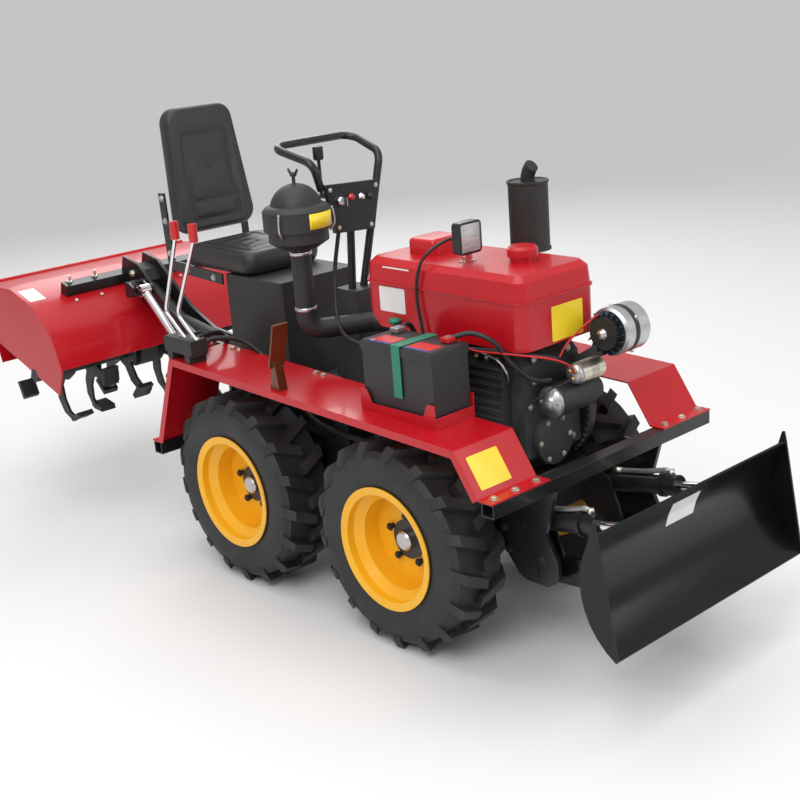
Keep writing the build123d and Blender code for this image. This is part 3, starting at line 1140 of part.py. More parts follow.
def tine_outline():
    """A tine seen along the shaft: it leaves the hub, sweeps back and ends in a broad tip."""
    hub = FLANGE_R - TINE_THICK
    half = TINE_WIDTH / 2
    shares = ((0.00, 0, 1), (0.40, 4, 0.95), (0.72, 13, 0.85), (0.985, 27, 0.72))
    front, rear = [], []
    for share, sweep_angle, width in shares:
        r = hub + share * (TINE_R - hub)
        for points, sign in ((front, 1), (rear, -1)):
            angle = math.radians(sweep_angle) + sign * half * width / max(r, 2 * half)
            points.append((r * math.cos(angle), r * math.sin(angle)))
    return front + rear[::-1]


def rotor_solid():
    rotor = disc_y(SHAFT_R, -HOOD_HALF_Y, HOOD_HALF_Y, 0, 0)
    blade = tine_outline()
    tip_r0, tip_r1 = TINE_R - 2 * TINE_THICK, TINE_R
    for n, (end, share, bend) in enumerate(FLANGE_SHARES):
        y = end * (FLANGE_INNER_Y + share * (HOOD_HALF_Y - FLANGE_END_GAP - FLANGE_INNER_Y))
        rotor += disc_y(FLANGE_R, y - FLANGE_THICK / 2, y + FLANGE_THICK / 2, 0, 0)
        for i in range(TINES):
            turn = 360 * i / TINES + n * TINE_LEAD
            side = bend or (1 if i % 2 else -1)
            y0 = y + side * FLANGE_THICK / 2
            plate = prism_y(blade, y0, y0 + side * TINE_THICK)
            start, end = math.radians(18), math.radians(38)
            wing = [(tip_r1 * 0.97 * math.cos(start), tip_r1 * 0.97 * math.sin(start)),
                    (tip_r1 * math.cos(end), tip_r1 * math.sin(end)),
                    (tip_r0 * math.cos(end), tip_r0 * math.sin(end)),
                    (tip_r0 * 0.97 * math.cos(start), tip_r0 * 0.97 * math.sin(start))]
            plate += prism_y(wing, y0, y0 + side * TINE_WING)
            rotor += Rot(0, turn, 0) * plate
    return Pos(ROTOR_AT[0], 0, ROTOR_AT[1]) * rotor


BOARD_LENGTH = 290
BOARD_SHEET = 4
BOARD_BOW = 12
BOARD_TOE = 16
HINGE_R = 8
BOARD_END_GAP = 8


def board_hinge():
    x, z = parked(*HOOD_HINGE)
    return x - HINGE_R - CLEAR, z


def board_path():
    x, z = board_hinge()
    return [(x, z), (x - BOARD_BOW, z - BOARD_LENGTH / 3), (x - BOARD_BOW, z - BOARD_LENGTH * 2 / 3),
            (x + BOARD_TOE, z - BOARD_LENGTH)]


def board_solid():
    half = HOOD_HALF_Y - SIDE_SHEET - BOARD_END_GAP
    board = prism_y(sheet_outline(board_path(), -BOARD_SHEET), -half, half)
    return board + disc_y(HINGE_R, -half, half, *board_hinge())


REAR_END_X = min(x for x, z in board_path())
FRONT_END_X = BLADE_FOOT[0]
SHIFT_X = -(REAR_END_X + FRONT_END_X) / 2


def build():
    rim, tyre = rim_solid(), tyre_solid()
    case = axle_case_solid()
    fender = fender_solid()
    nodes = {"chassis_frame": chassis_solid(), "front_beam": front_beam_solid(), "gearbox": gearbox_solid(),
             "engine_block": engine_solid(), "flywheel": flywheel_solid(), "fuel_tank": tank_solid(),
             "fuel_cap": fuel_cap_solid(), "muffler": muffler_solid(), "air_cleaner": air_cleaner_solid(),
             "alternator": alternator_solid(), "starter_motor": starter_solid(), "battery": battery_solid(),
             "battery_tray": tray_solid(), "work_lamp": lamp_solid(), "handle_frame": handle_solid(),
             "gear_lever": gear_lever_solid(), "seat_box": seat_box_solid(), "seat_cushion": seat_pan_solid(),
             "seat_back": seat_back_solid(), "seat_straps": seat_straps_solid(), "control_valve": valve_solid(),
             "foot_pedal": pedal_solid(), "dozer_blade": blade_solid(), "tiller_hood": hood_solid(),
             "tiller_arm": tiller_arm_solid(), "tiller_drive_case": drive_case_solid(),
             "tiller_rotor": rotor_solid(), "tiller_rear_board": board_solid()}
    for end in ENDS:
        nodes[end + "_axle_case"] = Pos(ENDS[end] * AXLE_X, 0, 0) * case
        for side in SIDES:
            place = wheel_place(end, side)
            nodes[f"rim_{end}_{side}"] = place * mirrored(rim, SIDES[side])
            nodes[f"tyre_{end}_{side}"] = place * mirrored(tyre, SIDES[side])
    for side in SIDES:
        y = SIDES[side] * LINK_Y
        nodes["fender_" + side] = mirrored(fender, SIDES[side])
        nodes["blade_ram_barrel_" + side] = ram_barrel(RAM_PIVOT, RAM_EYE, y, BLADE_RAM_R, BLADE_ROD_R,
                                                       BLADE_RAM_BODY, RAM_PIN_R, BLADE_BORE_START)
        nodes["blade_ram_rod_" + side] = ram_rod(RAM_PIVOT, RAM_EYE, y, BLADE_ROD_R, BLADE_ROD_START, RAM_PIN_R)
    nodes["tiller_ram_barrel"] = ram_barrel(TILLER_RAM_PIVOT, TILLER_EYE, TILLER_RAM_Y, TILLER_RAM_R, TILLER_ROD_R,
                                            TILLER_RAM_BODY, RAM_PIN_R, TILLER_BORE_START)
    nodes["tiller_ram_rod"] = ram_rod(TILLER_RAM_PIVOT, TILLER_EYE, TILLER_RAM_Y, TILLER_ROD_R, TILLER_ROD_START,
                                      RAM_PIN_R)
    return nodes


os.makedirs("parts", exist_ok=True)
for name, shape in build().items():
    export_step(Pos(SHIFT_X, 0, 0) * shape, f"parts/{name}.step")
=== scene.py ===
import bpy
import math
import numpy as np
from mathutils import Matrix, Vector
from mathutils.bvhtree import BVHTree


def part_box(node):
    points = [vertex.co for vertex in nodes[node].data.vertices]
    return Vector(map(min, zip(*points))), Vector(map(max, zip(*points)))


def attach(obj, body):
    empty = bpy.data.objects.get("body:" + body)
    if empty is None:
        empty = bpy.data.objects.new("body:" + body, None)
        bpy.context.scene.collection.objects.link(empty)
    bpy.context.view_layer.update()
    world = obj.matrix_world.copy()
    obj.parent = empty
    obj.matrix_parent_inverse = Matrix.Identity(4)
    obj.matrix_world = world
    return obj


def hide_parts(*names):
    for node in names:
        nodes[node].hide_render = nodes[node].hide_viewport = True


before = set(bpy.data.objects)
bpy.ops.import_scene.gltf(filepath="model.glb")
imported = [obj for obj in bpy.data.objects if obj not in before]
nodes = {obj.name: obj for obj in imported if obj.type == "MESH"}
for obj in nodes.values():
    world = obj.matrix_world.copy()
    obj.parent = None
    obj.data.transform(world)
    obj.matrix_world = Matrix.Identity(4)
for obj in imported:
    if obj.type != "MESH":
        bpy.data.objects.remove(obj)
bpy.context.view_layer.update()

# Places are written in millimetres from the middle of the wheelbase, as in the part's source
wheelAt = dict(x=338.5, y=312, z=287)
axleLow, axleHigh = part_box("front_axle_case")
shiftX = (axleLow[0] + axleHigh[0]) / 2 - wheelAt["x"] / 1000
right, left, up, front = (0, -1, 0), (0, 1, 0), (0, 0, 1), (1, 0, 0)
sides = (("right", -1), ("left", 1))


def toPlaces(points):
    return np.array(points, float) / 1000 + (shiftX, 0, 0)


def place(x, y, z):
    return Vector(toPlaces((x, y, z)))


# Shared effects, as node groups

def newGroup(name, inputs, outputs):
    group = bpy.data.node_groups.new(name, "ShaderNodeTree")
    for label, kind, value in inputs:
        socket = group.interface.new_socket(label, in_out="INPUT", socket_type=kind)
        if value is not None:
            socket.default_value = value
    for label, kind in outputs:
        group.interface.new_socket(label, in_out="OUTPUT", socket_type=kind)
    return group, group.nodes.new("NodeGroupInput"), group.nodes.new("NodeGroupOutput")


def link(tree, a, b):
    tree.links.new(a, b)


def mathNode(tree, operation, a, b=None, clamp=False):
    node = tree.nodes.new("ShaderNodeMath")
    node.operation = operation
    node.use_clamp = clamp
    for i, value in enumerate((a, b)):
        if value is None:
            continue
        if isinstance(value, (int, float)):
            node.inputs[i].default_value = value
        else:
            link(tree, value, node.inputs[i])
    return node.outputs[0]


def rangeNode(tree, value, low, high, toLow=0.0, toHigh=1.0):
    node = tree.nodes.new("ShaderNodeMapRange")
    link(tree, value, node.inputs["Value"])
    for label, v in (("From Min", low), ("From Max", high), ("To Min", toLow), ("To Max", toHigh)):
        node.inputs[label].default_value = v
    return node.outputs["Result"]


# Fine unevenness of a coated or cast surface: a height for bump and a slow mask for dust and wear
def makeGrainGroup():
    group, inputs, outputs = newGroup(
        "surfaceGrain",
        [("Vector", "NodeSocketVector", None), ("FineScale", "NodeSocketFloat", 400.0),
         ("SlowScale", "NodeSocketFloat", 6.0)],
        [("Height", "NodeSocketFloat"), ("Mask", "NodeSocketFloat")])
    fine = group.nodes.new("ShaderNodeTexNoise")
    slow = group.nodes.new("ShaderNodeTexNoise")
    for node, label, detail in ((fine, "FineScale", 2), (slow, "SlowScale", 5)):
        link(group, inputs.outputs["Vector"], node.inputs["Vector"])
        link(group, inputs.outputs[label], node.inputs["Scale"])
        node.inputs["Detail"].default_value = detail
    link(group, fine.outputs["Fac"], outputs.inputs["Height"])
    link(group, rangeNode(group, slow.outputs["Fac"], 0.35, 0.75), outputs.inputs["Mask"])
    return group


# A point's distance from a wheel's axle, as the root of the squares of its offsets in x and z
def makeWheelGroup():
    group, inputs, outputs = newGroup(
        "wheelPlace", [("Vector", "NodeSocketVector", None), ("Centre", "NodeSocketVector", None)],
        [("Radius", "NodeSocketFloat")])
    offset = group.nodes.new("ShaderNodeVectorMath")
    offset.operation = "SUBTRACT"
    link(group, inputs.outputs["Vector"], offset.inputs[0])
    link(group, inputs.outputs["Centre"], offset.inputs[1])
    split = group.nodes.new("ShaderNodeSeparateXYZ")
    link(group, offset.outputs[0], split.inputs[0])
    x, _, z = split.outputs
    square = mathNode(group, "ADD", mathNode(group, "MULTIPLY", x, x), mathNode(group, "MULTIPLY", z, z))
    link(group, mathNode(group, "SQRT", square), outputs.inputs["Radius"])
    return group


grainGroup = makeGrainGroup()
wheelGroup = makeWheelGroup()


# Materials

def baseMaterial(name, viewColour=(0.8, 0.8, 0.8)):
    material = bpy.data.materials.new(name)
    material.use_nodes = True
    material.diffuse_color = (*viewColour, 1)
    tree = material.node_tree
    coords = tree.nodes.new("ShaderNodeTexCoord")
    return material, tree, tree.nodes["Principled BSDF"], coords.outputs["Object"]


def addBump(tree, shader, height, strength, distance=0.001):
    bump = tree.nodes.new("ShaderNodeBump")
    bump.inputs["Strength"].default_value = strength
    bump.inputs["Distance"].default_value = distance
    link(tree, height, bump.inputs["Height"])
    link(tree, bump.outputs["Normal"], shader.inputs["Normal"])


def addGrain(tree, vector, fineScale, slowScale):
    grain = tree.nodes.new("ShaderNodeGroup")
    grain.node_tree = grainGroup
    link(tree, vector, grain.inputs["Vector"])
    grain.inputs["FineScale"].default_value = fineScale
    grain.inputs["SlowScale"].default_value = slowScale
    return grain.outputs["Height"], grain.outputs["Mask"]


def addCells(tree, vector, scale):
    cells = tree.nodes.new("ShaderNodeTexVoronoi")
    link(tree, vector, cells.inputs["Vector"])
    cells.inputs["Scale"].default_value = scale
    return cells.outputs["Distance"]


def mixColour(tree, factor, a, b):
    node = tree.nodes.new("ShaderNodeMix")
    node.data_type = "RGBA"
    link(tree, factor, node.inputs[0])
    node.inputs[6].default_value = (*a, 1)
    node.inputs[7].default_value = (*b, 1)
    return node.outputs[2]


def makeSurface(name, colour, second=None, rough=0.4, roughSpread=0.08, metallic=0.0, coat=0.0, shine=0.5,
                fineScale=300.0, slowScale=6.0, bump=0.1):
    material, tree, shader, vector = baseMaterial(name, colour)
    height, mask = addGrain(tree, vector, fineScale, slowScale)
    addBump(tree, shader, height, bump)
    second = second or tuple(c * 0.85 for c in colour)
    link(tree, mixColour(tree, mask, colour, second), shader.inputs["Base Color"])
    link(tree, rangeNode(tree, mask, 0, 1, rough, rough + roughSpread), shader.inputs["Roughness"])
    shader.inputs["Metallic"].default_value = metallic
    shader.inputs["Coat Weight"].default_value = coat
    shader.inputs["Coat Roughness"].default_value = 0.06
    shader.inputs["Specular IOR Level"].default_value = shine
    return material


surfaces = {
    "redPaint": dict(colour=(0.5, 0.004, 0.01), second=(0.45, 0.005, 0.012), rough=0.28, coat=0.2, shine=0.4,
                     bump=0.02, fineScale=120),
    "yellowPaint": dict(colour=(0.93, 0.47, 0.012), second=(0.86, 0.42, 0.012), rough=0.32, coat=0.2, shine=0.4,
                        bump=0.02, fineScale=160),
    "blackPaint": dict(colour=(0.011, 0.011, 0.012), second=(0.017, 0.017, 0.019), rough=0.26, coat=0.1, shine=0.4,
                       bump=0.02, fineScale=140),
    "bladePaint": dict(colour=(0.004, 0.004, 0.005), second=(0.006, 0.006, 0.007), rough=0.2, roughSpread=0.05,
                       shine=0.32, bump=0.012, fineScale=90),
    "satinBlack": dict(colour=(0.014, 0.014, 0.015), second=(0.026, 0.025, 0.024), rough=0.5),
    "castGrey": dict(colour=(0.045, 0.047, 0.05), second=(0.075, 0.077, 0.08), rough=0.5, metallic=0.5, bump=0.5,
                     fineScale=420),
    "darkIron": dict(colour=(0.022, 0.022, 0.024), second=(0.04, 0.038, 0.036), rough=0.52, metallic=0.3, bump=0.4,
                     fineScale=350),
    "alloy": dict(colour=(0.55, 0.56, 0.57), second=(0.42, 0.43, 0.44), rough=0.34, metallic=0.95, bump=0.25,
                  fineScale=500),
    "steel": dict(colour=(0.62, 0.62, 0.63), second=(0.5, 0.5, 0.51), rough=0.26, metallic=1.0, bump=0.06),
    "zinc": dict(colour=(0.72, 0.68, 0.56), second=(0.6, 0.57, 0.5), rough=0.3, metallic=1.0, bump=0.06),
    "steelBlue": dict(colour=(0.07, 0.1, 0.15), second=(0.05, 0.07, 0.1), rough=0.28, metallic=0.8, bump=0.05),
    "brass": dict(colour=(0.72, 0.5, 0.18), second=(0.6, 0.4, 0.14), rough=0.28, metallic=1.0, bump=0.05),
    "copperPlate": dict(colour=(0.2, 0.06, 0.02), second=(0.12, 0.035, 0.012), rough=0.3, metallic=0.5, coat=0.3,
                        bump=0.08),
    "chrome": dict(colour=(0.86, 0.86, 0.87), second=(0.8, 0.8, 0.81), rough=0.06, metallic=1.0, bump=0.01),
    "batteryCase": dict(colour=(0.016, 0.016, 0.018), second=(0.025, 0.025, 0.027), rough=0.42, bump=0.12),
    "knobRed": dict(colour=(0.55, 0.012, 0.012), rough=0.28, coat=0.4, bump=0.02),
    "cableBlack": dict(colour=(0.012, 0.012, 0.013), rough=0.45),
    "cableRed": dict(colour=(0.55, 0.01, 0.01), rough=0.4, bump=0.06),
    "greenBand": dict(colour=(0.012, 0.2, 0.12), rough=0.4),
    "plateYellow": dict(colour=(0.95, 0.7, 0.02), rough=0.35, coat=0.4, bump=0.02),
    "plateWhite": dict(colour=(0.82, 0.82, 0.8), rough=0.35, coat=0.4, bump=0.02),
    "plateRed": dict(colour=(0.66, 0.02, 0.02), rough=0.35, coat=0.4, bump=0.02),
    "plateBlue": dict(colour=(0.02, 0.09, 0.42), rough=0.35, coat=0.4, bump=0.02),
    "mufflerBlack": dict(colour=(0.012, 0.012, 0.012), second=(0.03, 0.026, 0.022), rough=0.55, bump=0.25,
                         fineScale=240),
    "lampWhite": dict(colour=(0.9, 0.9, 0.88), second=(0.84, 0.84, 0.83), rough=0.12, coat=0.8, bump=0.01),
}
mats = {name: makeSurface(name, **values) for name, values in surfaces.items()}

tyreLook = dict(rubber=(0.016, 0.016, 0.017), dust=(0.05, 0.047, 0.043), fineScale=260, slowScale=9, bump=0.3,
                ringPitch=0.007, ringsFrom=(0.176, 0.18), ringsTo=(0.206, 0.202), dustBand=(0.25, 0.287),
                rough=(0.5, 0.68))


# Fine rings on the sidewall: a sine of the radius, kept to the band between the bead and the shoulder
def tyreMaterial(name, centre):
    look = tyreLook
    material, tree, shader, vector = baseMaterial(name, look["rubber"])
    fine, mask = addGrain(tree, vector, look["fineScale"], look["slowScale"])
    where = tree.nodes.new("ShaderNodeGroup")
    where.node_tree = wheelGroup
    link(tree, vector, where.inputs["Vector"])
    where.inputs["Centre"].default_value = centre
    radius = where.outputs["Radius"]
    ring = mathNode(tree, "SINE", mathNode(tree, "MULTIPLY", radius, 2 * math.pi / look["ringPitch"]))
    band = mathNode(tree, "MULTIPLY", rangeNode(tree, radius, *look["ringsFrom"]),
                    rangeNode(tree, radius, *look["ringsTo"]))
    rings = mathNode(tree, "MULTIPLY", band, mathNode(tree, "MULTIPLY", ring, 0.5))
    addBump(tree, shader, mathNode(tree, "ADD", mathNode(tree, "MULTIPLY", fine, 0.3), rings), look["bump"])
    dusty = mathNode(tree, "MULTIPLY", mask, rangeNode(tree, radius, *look["dustBand"]), clamp=True)
    link(tree, mixColour(tree, dusty, look["rubber"], look["dust"]), shader.inputs["Base Color"])
    link(tree, rangeNode(tree, mask, 0, 1, *look["rough"]), shader.inputs["Roughness"])
    return material


vinylLook = dict(dark=(0.013, 0.013, 0.014), pale=(0.024, 0.024, 0.025), leatherScale=420, slowScale=7,
                 rough=(0.36, 0.5), bump=0.22)


def vinylMaterial():
    look = vinylLook
    material, tree, shader, vector = baseMaterial("seatVinyl", look["pale"])
    addBump(tree, shader, addCells(tree, vector, look["leatherScale"]), look["bump"], 0.0006)
    slow = tree.nodes.new("ShaderNodeTexNoise")
    link(tree, vector, slow.inputs["Vector"])
    slow.inputs["Scale"].default_value = look["slowScale"]
    slow.inputs["Detail"].default_value = 3
    link(tree, mixColour(tree, slow.outputs["Fac"], look["dark"], look["pale"]), shader.inputs["Base Color"])
    link(tree, rangeNode(tree, slow.outputs["Fac"], 0.3, 0.7, *look["rough"]), shader.inputs["Roughness"])
    return material


# The braid's gap colour is painted shade: the same metal, darker towards each cell's edge, between the wires
braidLook = dict(wire=(0.75, 0.75, 0.74), gap=(0.35, 0.35, 0.35), scale=650, bump=0.5, metallic=0.8, rough=0.35)


def braidMaterial():
    look = braidLook
    material, tree, shader, vector = baseMaterial("braidedHose")
    cells = addCells(tree, vector, look["scale"])
    addBump(tree, shader, cells, look["bump"])
    # Painted shade: the wire colour darkens towards each cell's edge
    link(tree, mixColour(tree, cells, look["wire"], look["gap"]), shader.inputs["Base Color"])
    shader.inputs["Metallic"].default_value = look["metallic"]
    shader.inputs["Roughness"].default_value = look["rough"]
    return material


glassLook = {"Base Color": (0.93, 0.95, 0.96, 1), "Roughness": 0.03, "Transmission Weight": 0.85, "IOR": 1.45}


def glassMaterial():
    material, tree, shader, vector = baseMaterial("lampGlass")
    for label, value in glassLook.items():
        shader.inputs[label].default_value = value
    return material


mats["seatVinyl"] = vinylMaterial()
mats["braid"] = braidMaterial()
mats["lampGlass"] = glassMaterial()
print("stage materials", len(mats), flush=True)


# Mesh helpers

def meshObject(name, points, faces, material, body, smooth=True):
    mesh = bpy.data.meshes.new(name)
    mesh.from_pydata(np.array(points, float).tolist(), [], faces)
    mesh.validate()
    mesh.update()
    mesh.polygons.foreach_set("use_smooth", [smooth] * len(mesh.polygons))
    obj = bpy.data.objects.new(name, mesh)
    bpy.context.scene.collection.objects.link(obj)
    mesh.materials.append(mats[material])
    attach(obj, body)
    return obj


edges = dict(sharpFrom=32, nodeSegments=2, boxSegments=3, weldGap=0.00002)


def roundEdges(obj, width, segments):
    bevel = obj.modifiers.new("edges", "BEVEL")
    bevel.width = width / 1000
    bevel.segments = segments
    bevel.limit_method = "ANGLE"
    bevel.angle_limit = math.radians(edges["sharpFrom"])
    bevel.harden_normals = True


# Quads of a grid whose points are numbered row by row; each row may close on itself
def gridFaces(rows, columns, closed=False):
    i, j = np.meshgrid(np.arange(rows - 1), np.arange(columns if closed else columns - 1), indexing="ij")
    a, b = i * columns + j, i * columns + (j + 1) % columns
    return np.stack((a, b, b + columns, a + columns), -1).reshape(-1, 4).tolist()


# Quads between closed rings, with a face over the first ring and one over the last
def ringFaces(count, across):
    last = (count - 1) * across
    return gridFaces(count, across, True) + [list(range(across))[::-1], list(range(last, last + across))]


# A curve through every point, each span a cubic whose slopes are those of the neighbouring points
def smoothPath(points, steps):
    p = np.array(points, float)
    padded = np.vstack([2 * p[0] - p[1], p, 2 * p[-1] - p[-2]])
    t = np.linspace(0, 1, steps, endpoint=False)[:, None]
    spans = []
    for i in range(len(p) - 1):
        a, b, c, d = padded[i:i + 4]
        spans.append(0.5 * (2 * b + (c - a) * t + (2 * a - 5 * b + 4 * c - d) * t ** 2
                            + (3 * b - a - 3 * c + d) * t ** 3))
    return np.vstack(spans + [p[-1:]])


# Rings about a smooth path, turned along with it so that they don't twist: a ring's point is its centre plus
# the radius times cosine along one normal and sine along the other; radius is one value or (first, last)
def tubeMesh(points, radius, steps=10, around=14):
    path = smoothPath(toPlaces(points), steps)
    radii = np.linspace(*np.broadcast_to(radius, 2), len(path)) / 1000
    heading = np.gradient(path, axis=0)
    heading /= np.linalg.norm(heading, axis=1)[:, None]
    normal = np.cross(heading[0], up if abs(heading[0][2]) < 0.9 else front)
    angle = np.linspace(0, 2 * math.pi, around, endpoint=False)
    rings = []
    for centre, ahead, r in zip(path, heading, radii):
        normal = normal - ahead * normal.dot(ahead)
        normal /= np.linalg.norm(normal)
        side = np.cross(ahead, normal)
        rings.append(centre + r * (np.cos(angle)[:, None] * normal + np.sin(angle)[:, None] * side))
    return np.vstack(rings), ringFaces(len(path), around)


def tubePiece(name, points, radius, material, body="machine"):
    return meshObject(name, *tubeMesh(points, radius), material, body)


def joinMeshes(parts):
    points, faces, start = [], [], 0
    for p, f in parts:
        points.append(p)
        faces += [[i + start for i in face] for face in f]
        start += len(p)
    return np.vstack(points), faces


# Rings about an axis from a profile of (radius, distance along the axis) pairs: a point is the foot plus the
# radius times cosine and sine along two normals of the axis, plus the distance along it
def turned(at, axis, profile, around=24, phase=0.0):
    ahead = Vector(axis).normalized()
    side = ahead.orthogonal().normalized()
    u, v, w = np.array(side), np.array(ahead.cross(side)), np.array(ahead)
    angle = np.linspace(0, 2 * math.pi, around, endpoint=False) + phase
    circle = np.cos(angle)[:, None] * u + np.sin(angle)[:, None] * v
    r, h = np.array(profile, float).T[:, :, None, None] / 1000
    return (toPlaces(at) + r * circle + h * w).reshape(-1, 3), ringFaces(len(profile), around)


def turnedPiece(name, at, axis, profile, around, material, body="machine"):
    return meshObject(name, *turned(at, axis, profile, around), material, body)


# Shares of a head's corner radius, and of its height for the flats and the stud
boltShape = dict(height=0.62, flats=0.82, crown=0.86, stud=0.45, studHeight=1.22, washer=1.32, washerHeight=0.16)


# A hex head with a chamfered crown and a stud's end, on a thin washer; size is the head's corner radius
def boltMesh(at, axis, size, washer=True, phase=0.3):
    shape = boltShape
    height = size * shape["height"]
    base = size * shape["washerHeight"] if washer else 0.0
    head = [(size, base), (size, base + height * shape["flats"]), (size * shape["crown"], base + height)]
    stud = size * shape["stud"]
    parts = [turned(at, axis, head, 6, phase),
             turned(at, axis, [(stud, base + height - 0.1), (stud, base + height * shape["studHeight"])], 12)]
    if washer:
        parts.append(turned(at, axis, [(size * shape["washer"], -0.2), (size * shape["washer"], base)], 20))
    return joinMeshes(parts)


# Rows of (x, y, z, axis, size): one piece with a head at each
def bolts(name, body, material, rows):
    parts = [boltMesh((x, y, z), axis, size, phase=0.3 + 0.7 * k) for k, (x, y, z, axis, size) in enumerate(rows)]
    return meshObject(name, *joinMeshes(parts), material, body, smooth=False)


# A thin blank plate between four corners: each corner is a quarter circle between its two edges, and the
# outline stands once on the surface and once above it
def platePiece(name, corners, normal, material, body="machine", under=0.1, thick=0.5, radius=4):
    c = toPlaces(corners)
    n = np.array(Vector(normal).normalized())
    inward, outward = np.roll(c, 1, 0) - c, np.roll(c, -1, 0) - c
    inward /= np.linalg.norm(inward, axis=1)[:, None]
    outward /= np.linalg.norm(outward, axis=1)[:, None]
    angle = np.linspace(0, math.pi / 2, 5)[:, None]
    outline = c[:, None] + radius / 1000 * (inward[:, None] * (1 - np.sin(angle))
                                            + outward[:, None] * (1 - np.cos(angle)))
    outline = outline.reshape(-1, 3)
    k = len(outline)
    faces = [list(range(k, 2 * k)), list(range(k))[::-1]]
    faces += [(i, (i + 1) % k, k + (i + 1) % k, k + i) for i in range(k)]
    points = np.vstack([outline + n * (under / 1000), outline + n * (thick / 1000)])
    return meshObject(name, points, faces, material, body, smooth=False)


# A thin blank plate whose (z, y) grid is laid on a node's surface as seen from the front: each point goes
# back along x to the surface, and off it along its normal by the lift of its layer
def laidPlate(name, node, lowY, highY, lowZ, highZ, fromX, material, body, rows=9, columns=4, under=0.1, thick=0.6):
    mesh = nodes[node].data
    tree = BVHTree.FromPolygons([v.co for v in mesh.vertices], [p.vertices for p in mesh.polygons])
    points = []
    for lift in (under, thick):
        for z in np.linspace(lowZ, highZ, rows):
            for y in np.linspace(lowY, highY, columns):
                hit, normal, _, _ = tree.ray_cast(place(fromX, y, z), Vector((-1, 0, 0)))
                points.append(hit + normal * lift / 1000)
    count = rows * columns
    under = gridFaces(rows, columns)
    faces = [[i + count for i in face] for face in under] + [face[::-1] for face in under]
    grid = np.arange(count).reshape(rows, columns)
    rim = np.concatenate([grid[0], grid[1:, -1], grid[-1, -2::-1], grid[-2:0:-1, 0]]).tolist()
    faces += [(a, b, b + count, a + count) for a, b in zip(rim, rim[1:] + rim[:1])]
    return meshObject(name, points, faces, material, body, smooth=False)


# A box between two opposite corners, with rounded edges
def boxPiece(name, low, high, material, body="machine", bevel=1.0):
    (x0, y0, z0), (x1, y1, z1) = low, high
    corners = [(x0, y0, z0), (x1, y0, z0), (x1, y1, z0), (x0, y1, z0),
               (x0, y0, z1), (x1, y0, z1), (x1, y1, z1), (x0, y1, z1)]
    faces = [(0, 3, 2, 1), (4, 5, 6, 7), (0, 1, 5, 4), (1, 2, 6, 5), (2, 3, 7, 6), (3, 0, 4, 7)]
    obj = meshObject(name, toPlaces(corners), faces, material, body)
    if bevel:
        roundEdges(obj, bevel, edges["boxSegments"])
    return obj


# CAD nodes: materials by region and rounded edges; pick gives a material's number from the faces' middles

def dressNode(name, materials, bevel, pick=None):
    obj = nodes[name]
    mesh = obj.data
    mesh.materials.clear()
    for material in materials:
        mesh.materials.append(mats[material])
    if "custom_normal" in mesh.attributes:
        mesh.attributes.remove(mesh.attributes["custom_normal"])
    count = len(mesh.polygons)
    mesh.polygons.foreach_set("use_smooth", [True] * count)
    middles = np.empty(count * 3, np.float32)
    mesh.polygons.foreach_get("center", middles)
    x, y, z = (middles.reshape(-1, 3).T - np.array([[shiftX], [0], [0]])) * 1000
    indices = pick(x, y, z) if pick else np.zeros(count)
    mesh.polygons.foreach_set("material_index", indices.astype(np.int32))
    weld = obj.modifiers.new("weld", "WELD")
    weld.merge_threshold = edges["weldGap"]
    roundEdges(obj, bevel, edges["nodeSegments"])


# Radii and depths, out from the wheel's middle plane, that part hub and centre from the painted rim
wheel = dict(hubRadius=80, hubDepth=-6, centreRadius=30, centreDepth=3, rimBevel=1.2, tyreBevel=2.2)
wheelCentres = {f"{end}_{side}": (ahead * wheelAt["x"], sign * wheelAt["y"], wheelAt["z"], sign)
                for end, ahead in (("front", 1), ("rear", -1)) for side, sign in sides}

for key, (wx, wy, wz, sign) in wheelCentres.items():
    def rimRegion(x, y, z, wx=wx, wy=wy, wz=wz, sign=sign):
        r, out = np.hypot(x - wx, z - wz), sign * (y - wy)
        hub = (out > wheel["hubDepth"]) & (r < wheel["hubRadius"])
        return np.where((r < wheel["centreRadius"]) & (out > wheel["centreDepth"]), 2, hub)

    dressNode("rim_" + key, ["yellowPaint", "blackPaint", "steel"], wheel["rimBevel"], rimRegion)
    mats["tyre_" + key] = tyreMaterial("tyre_" + key, place(wx, wy, wz))
    dressNode("tyre_" + key, ["tyre_" + key], wheel["tyreBevel"])

# Each finish with its nodes and the width of their rounded edges
plainNodes = {
    "redPaint": dict(fender_right=1.0, fender_left=1.0, fuel_tank=2.0, fuel_cap=1.0, battery_tray=0.6,
                     tiller_hood=1.0, tiller_rear_board=0.8),
    "blackPaint": dict(chassis_frame=1.0, front_beam=1.2, handle_frame=0.8, gear_lever=1.2, seat_straps=0.8,
                       tiller_arm=1.0, tiller_ram_barrel=1.0, blade_ram_barrel_right=1.0,
                       blade_ram_barrel_left=1.0),
    "castGrey": dict(gearbox=1.5, engine_block=1.6, flywheel=0.8),
    "darkIron": dict(front_axle_case=1.2, rear_axle_case=1.2, tiller_drive_case=1.5),
    "satinBlack": dict(air_cleaner=1.2, seat_box=1.5, tiller_rotor=1.0),
    "mufflerBlack": dict(muffler=0.8),
    "copperPlate": dict(foot_pedal=0.8),
    "bladePaint": dict(dozer_blade=1.0),
    "chrome": dict(tiller_ram_rod=0.8, blade_ram_rod_right=0.8, blade_ram_rod_left=0.8),
}
for material, widths in plainNodes.items():
    for node, width in widths.items():
        dressNode(node, [material], width)

starter = dict(solenoidAt=(676, 722), solenoidRadius=27.5, solenoidEnd=60)


def solenoidRegion(x, y, z):
    reach = np.hypot(x - starter["solenoidAt"][0], z - starter["solenoidAt"][1])
    return (reach < starter["solenoidRadius"]) & (y < starter["solenoidEnd"])


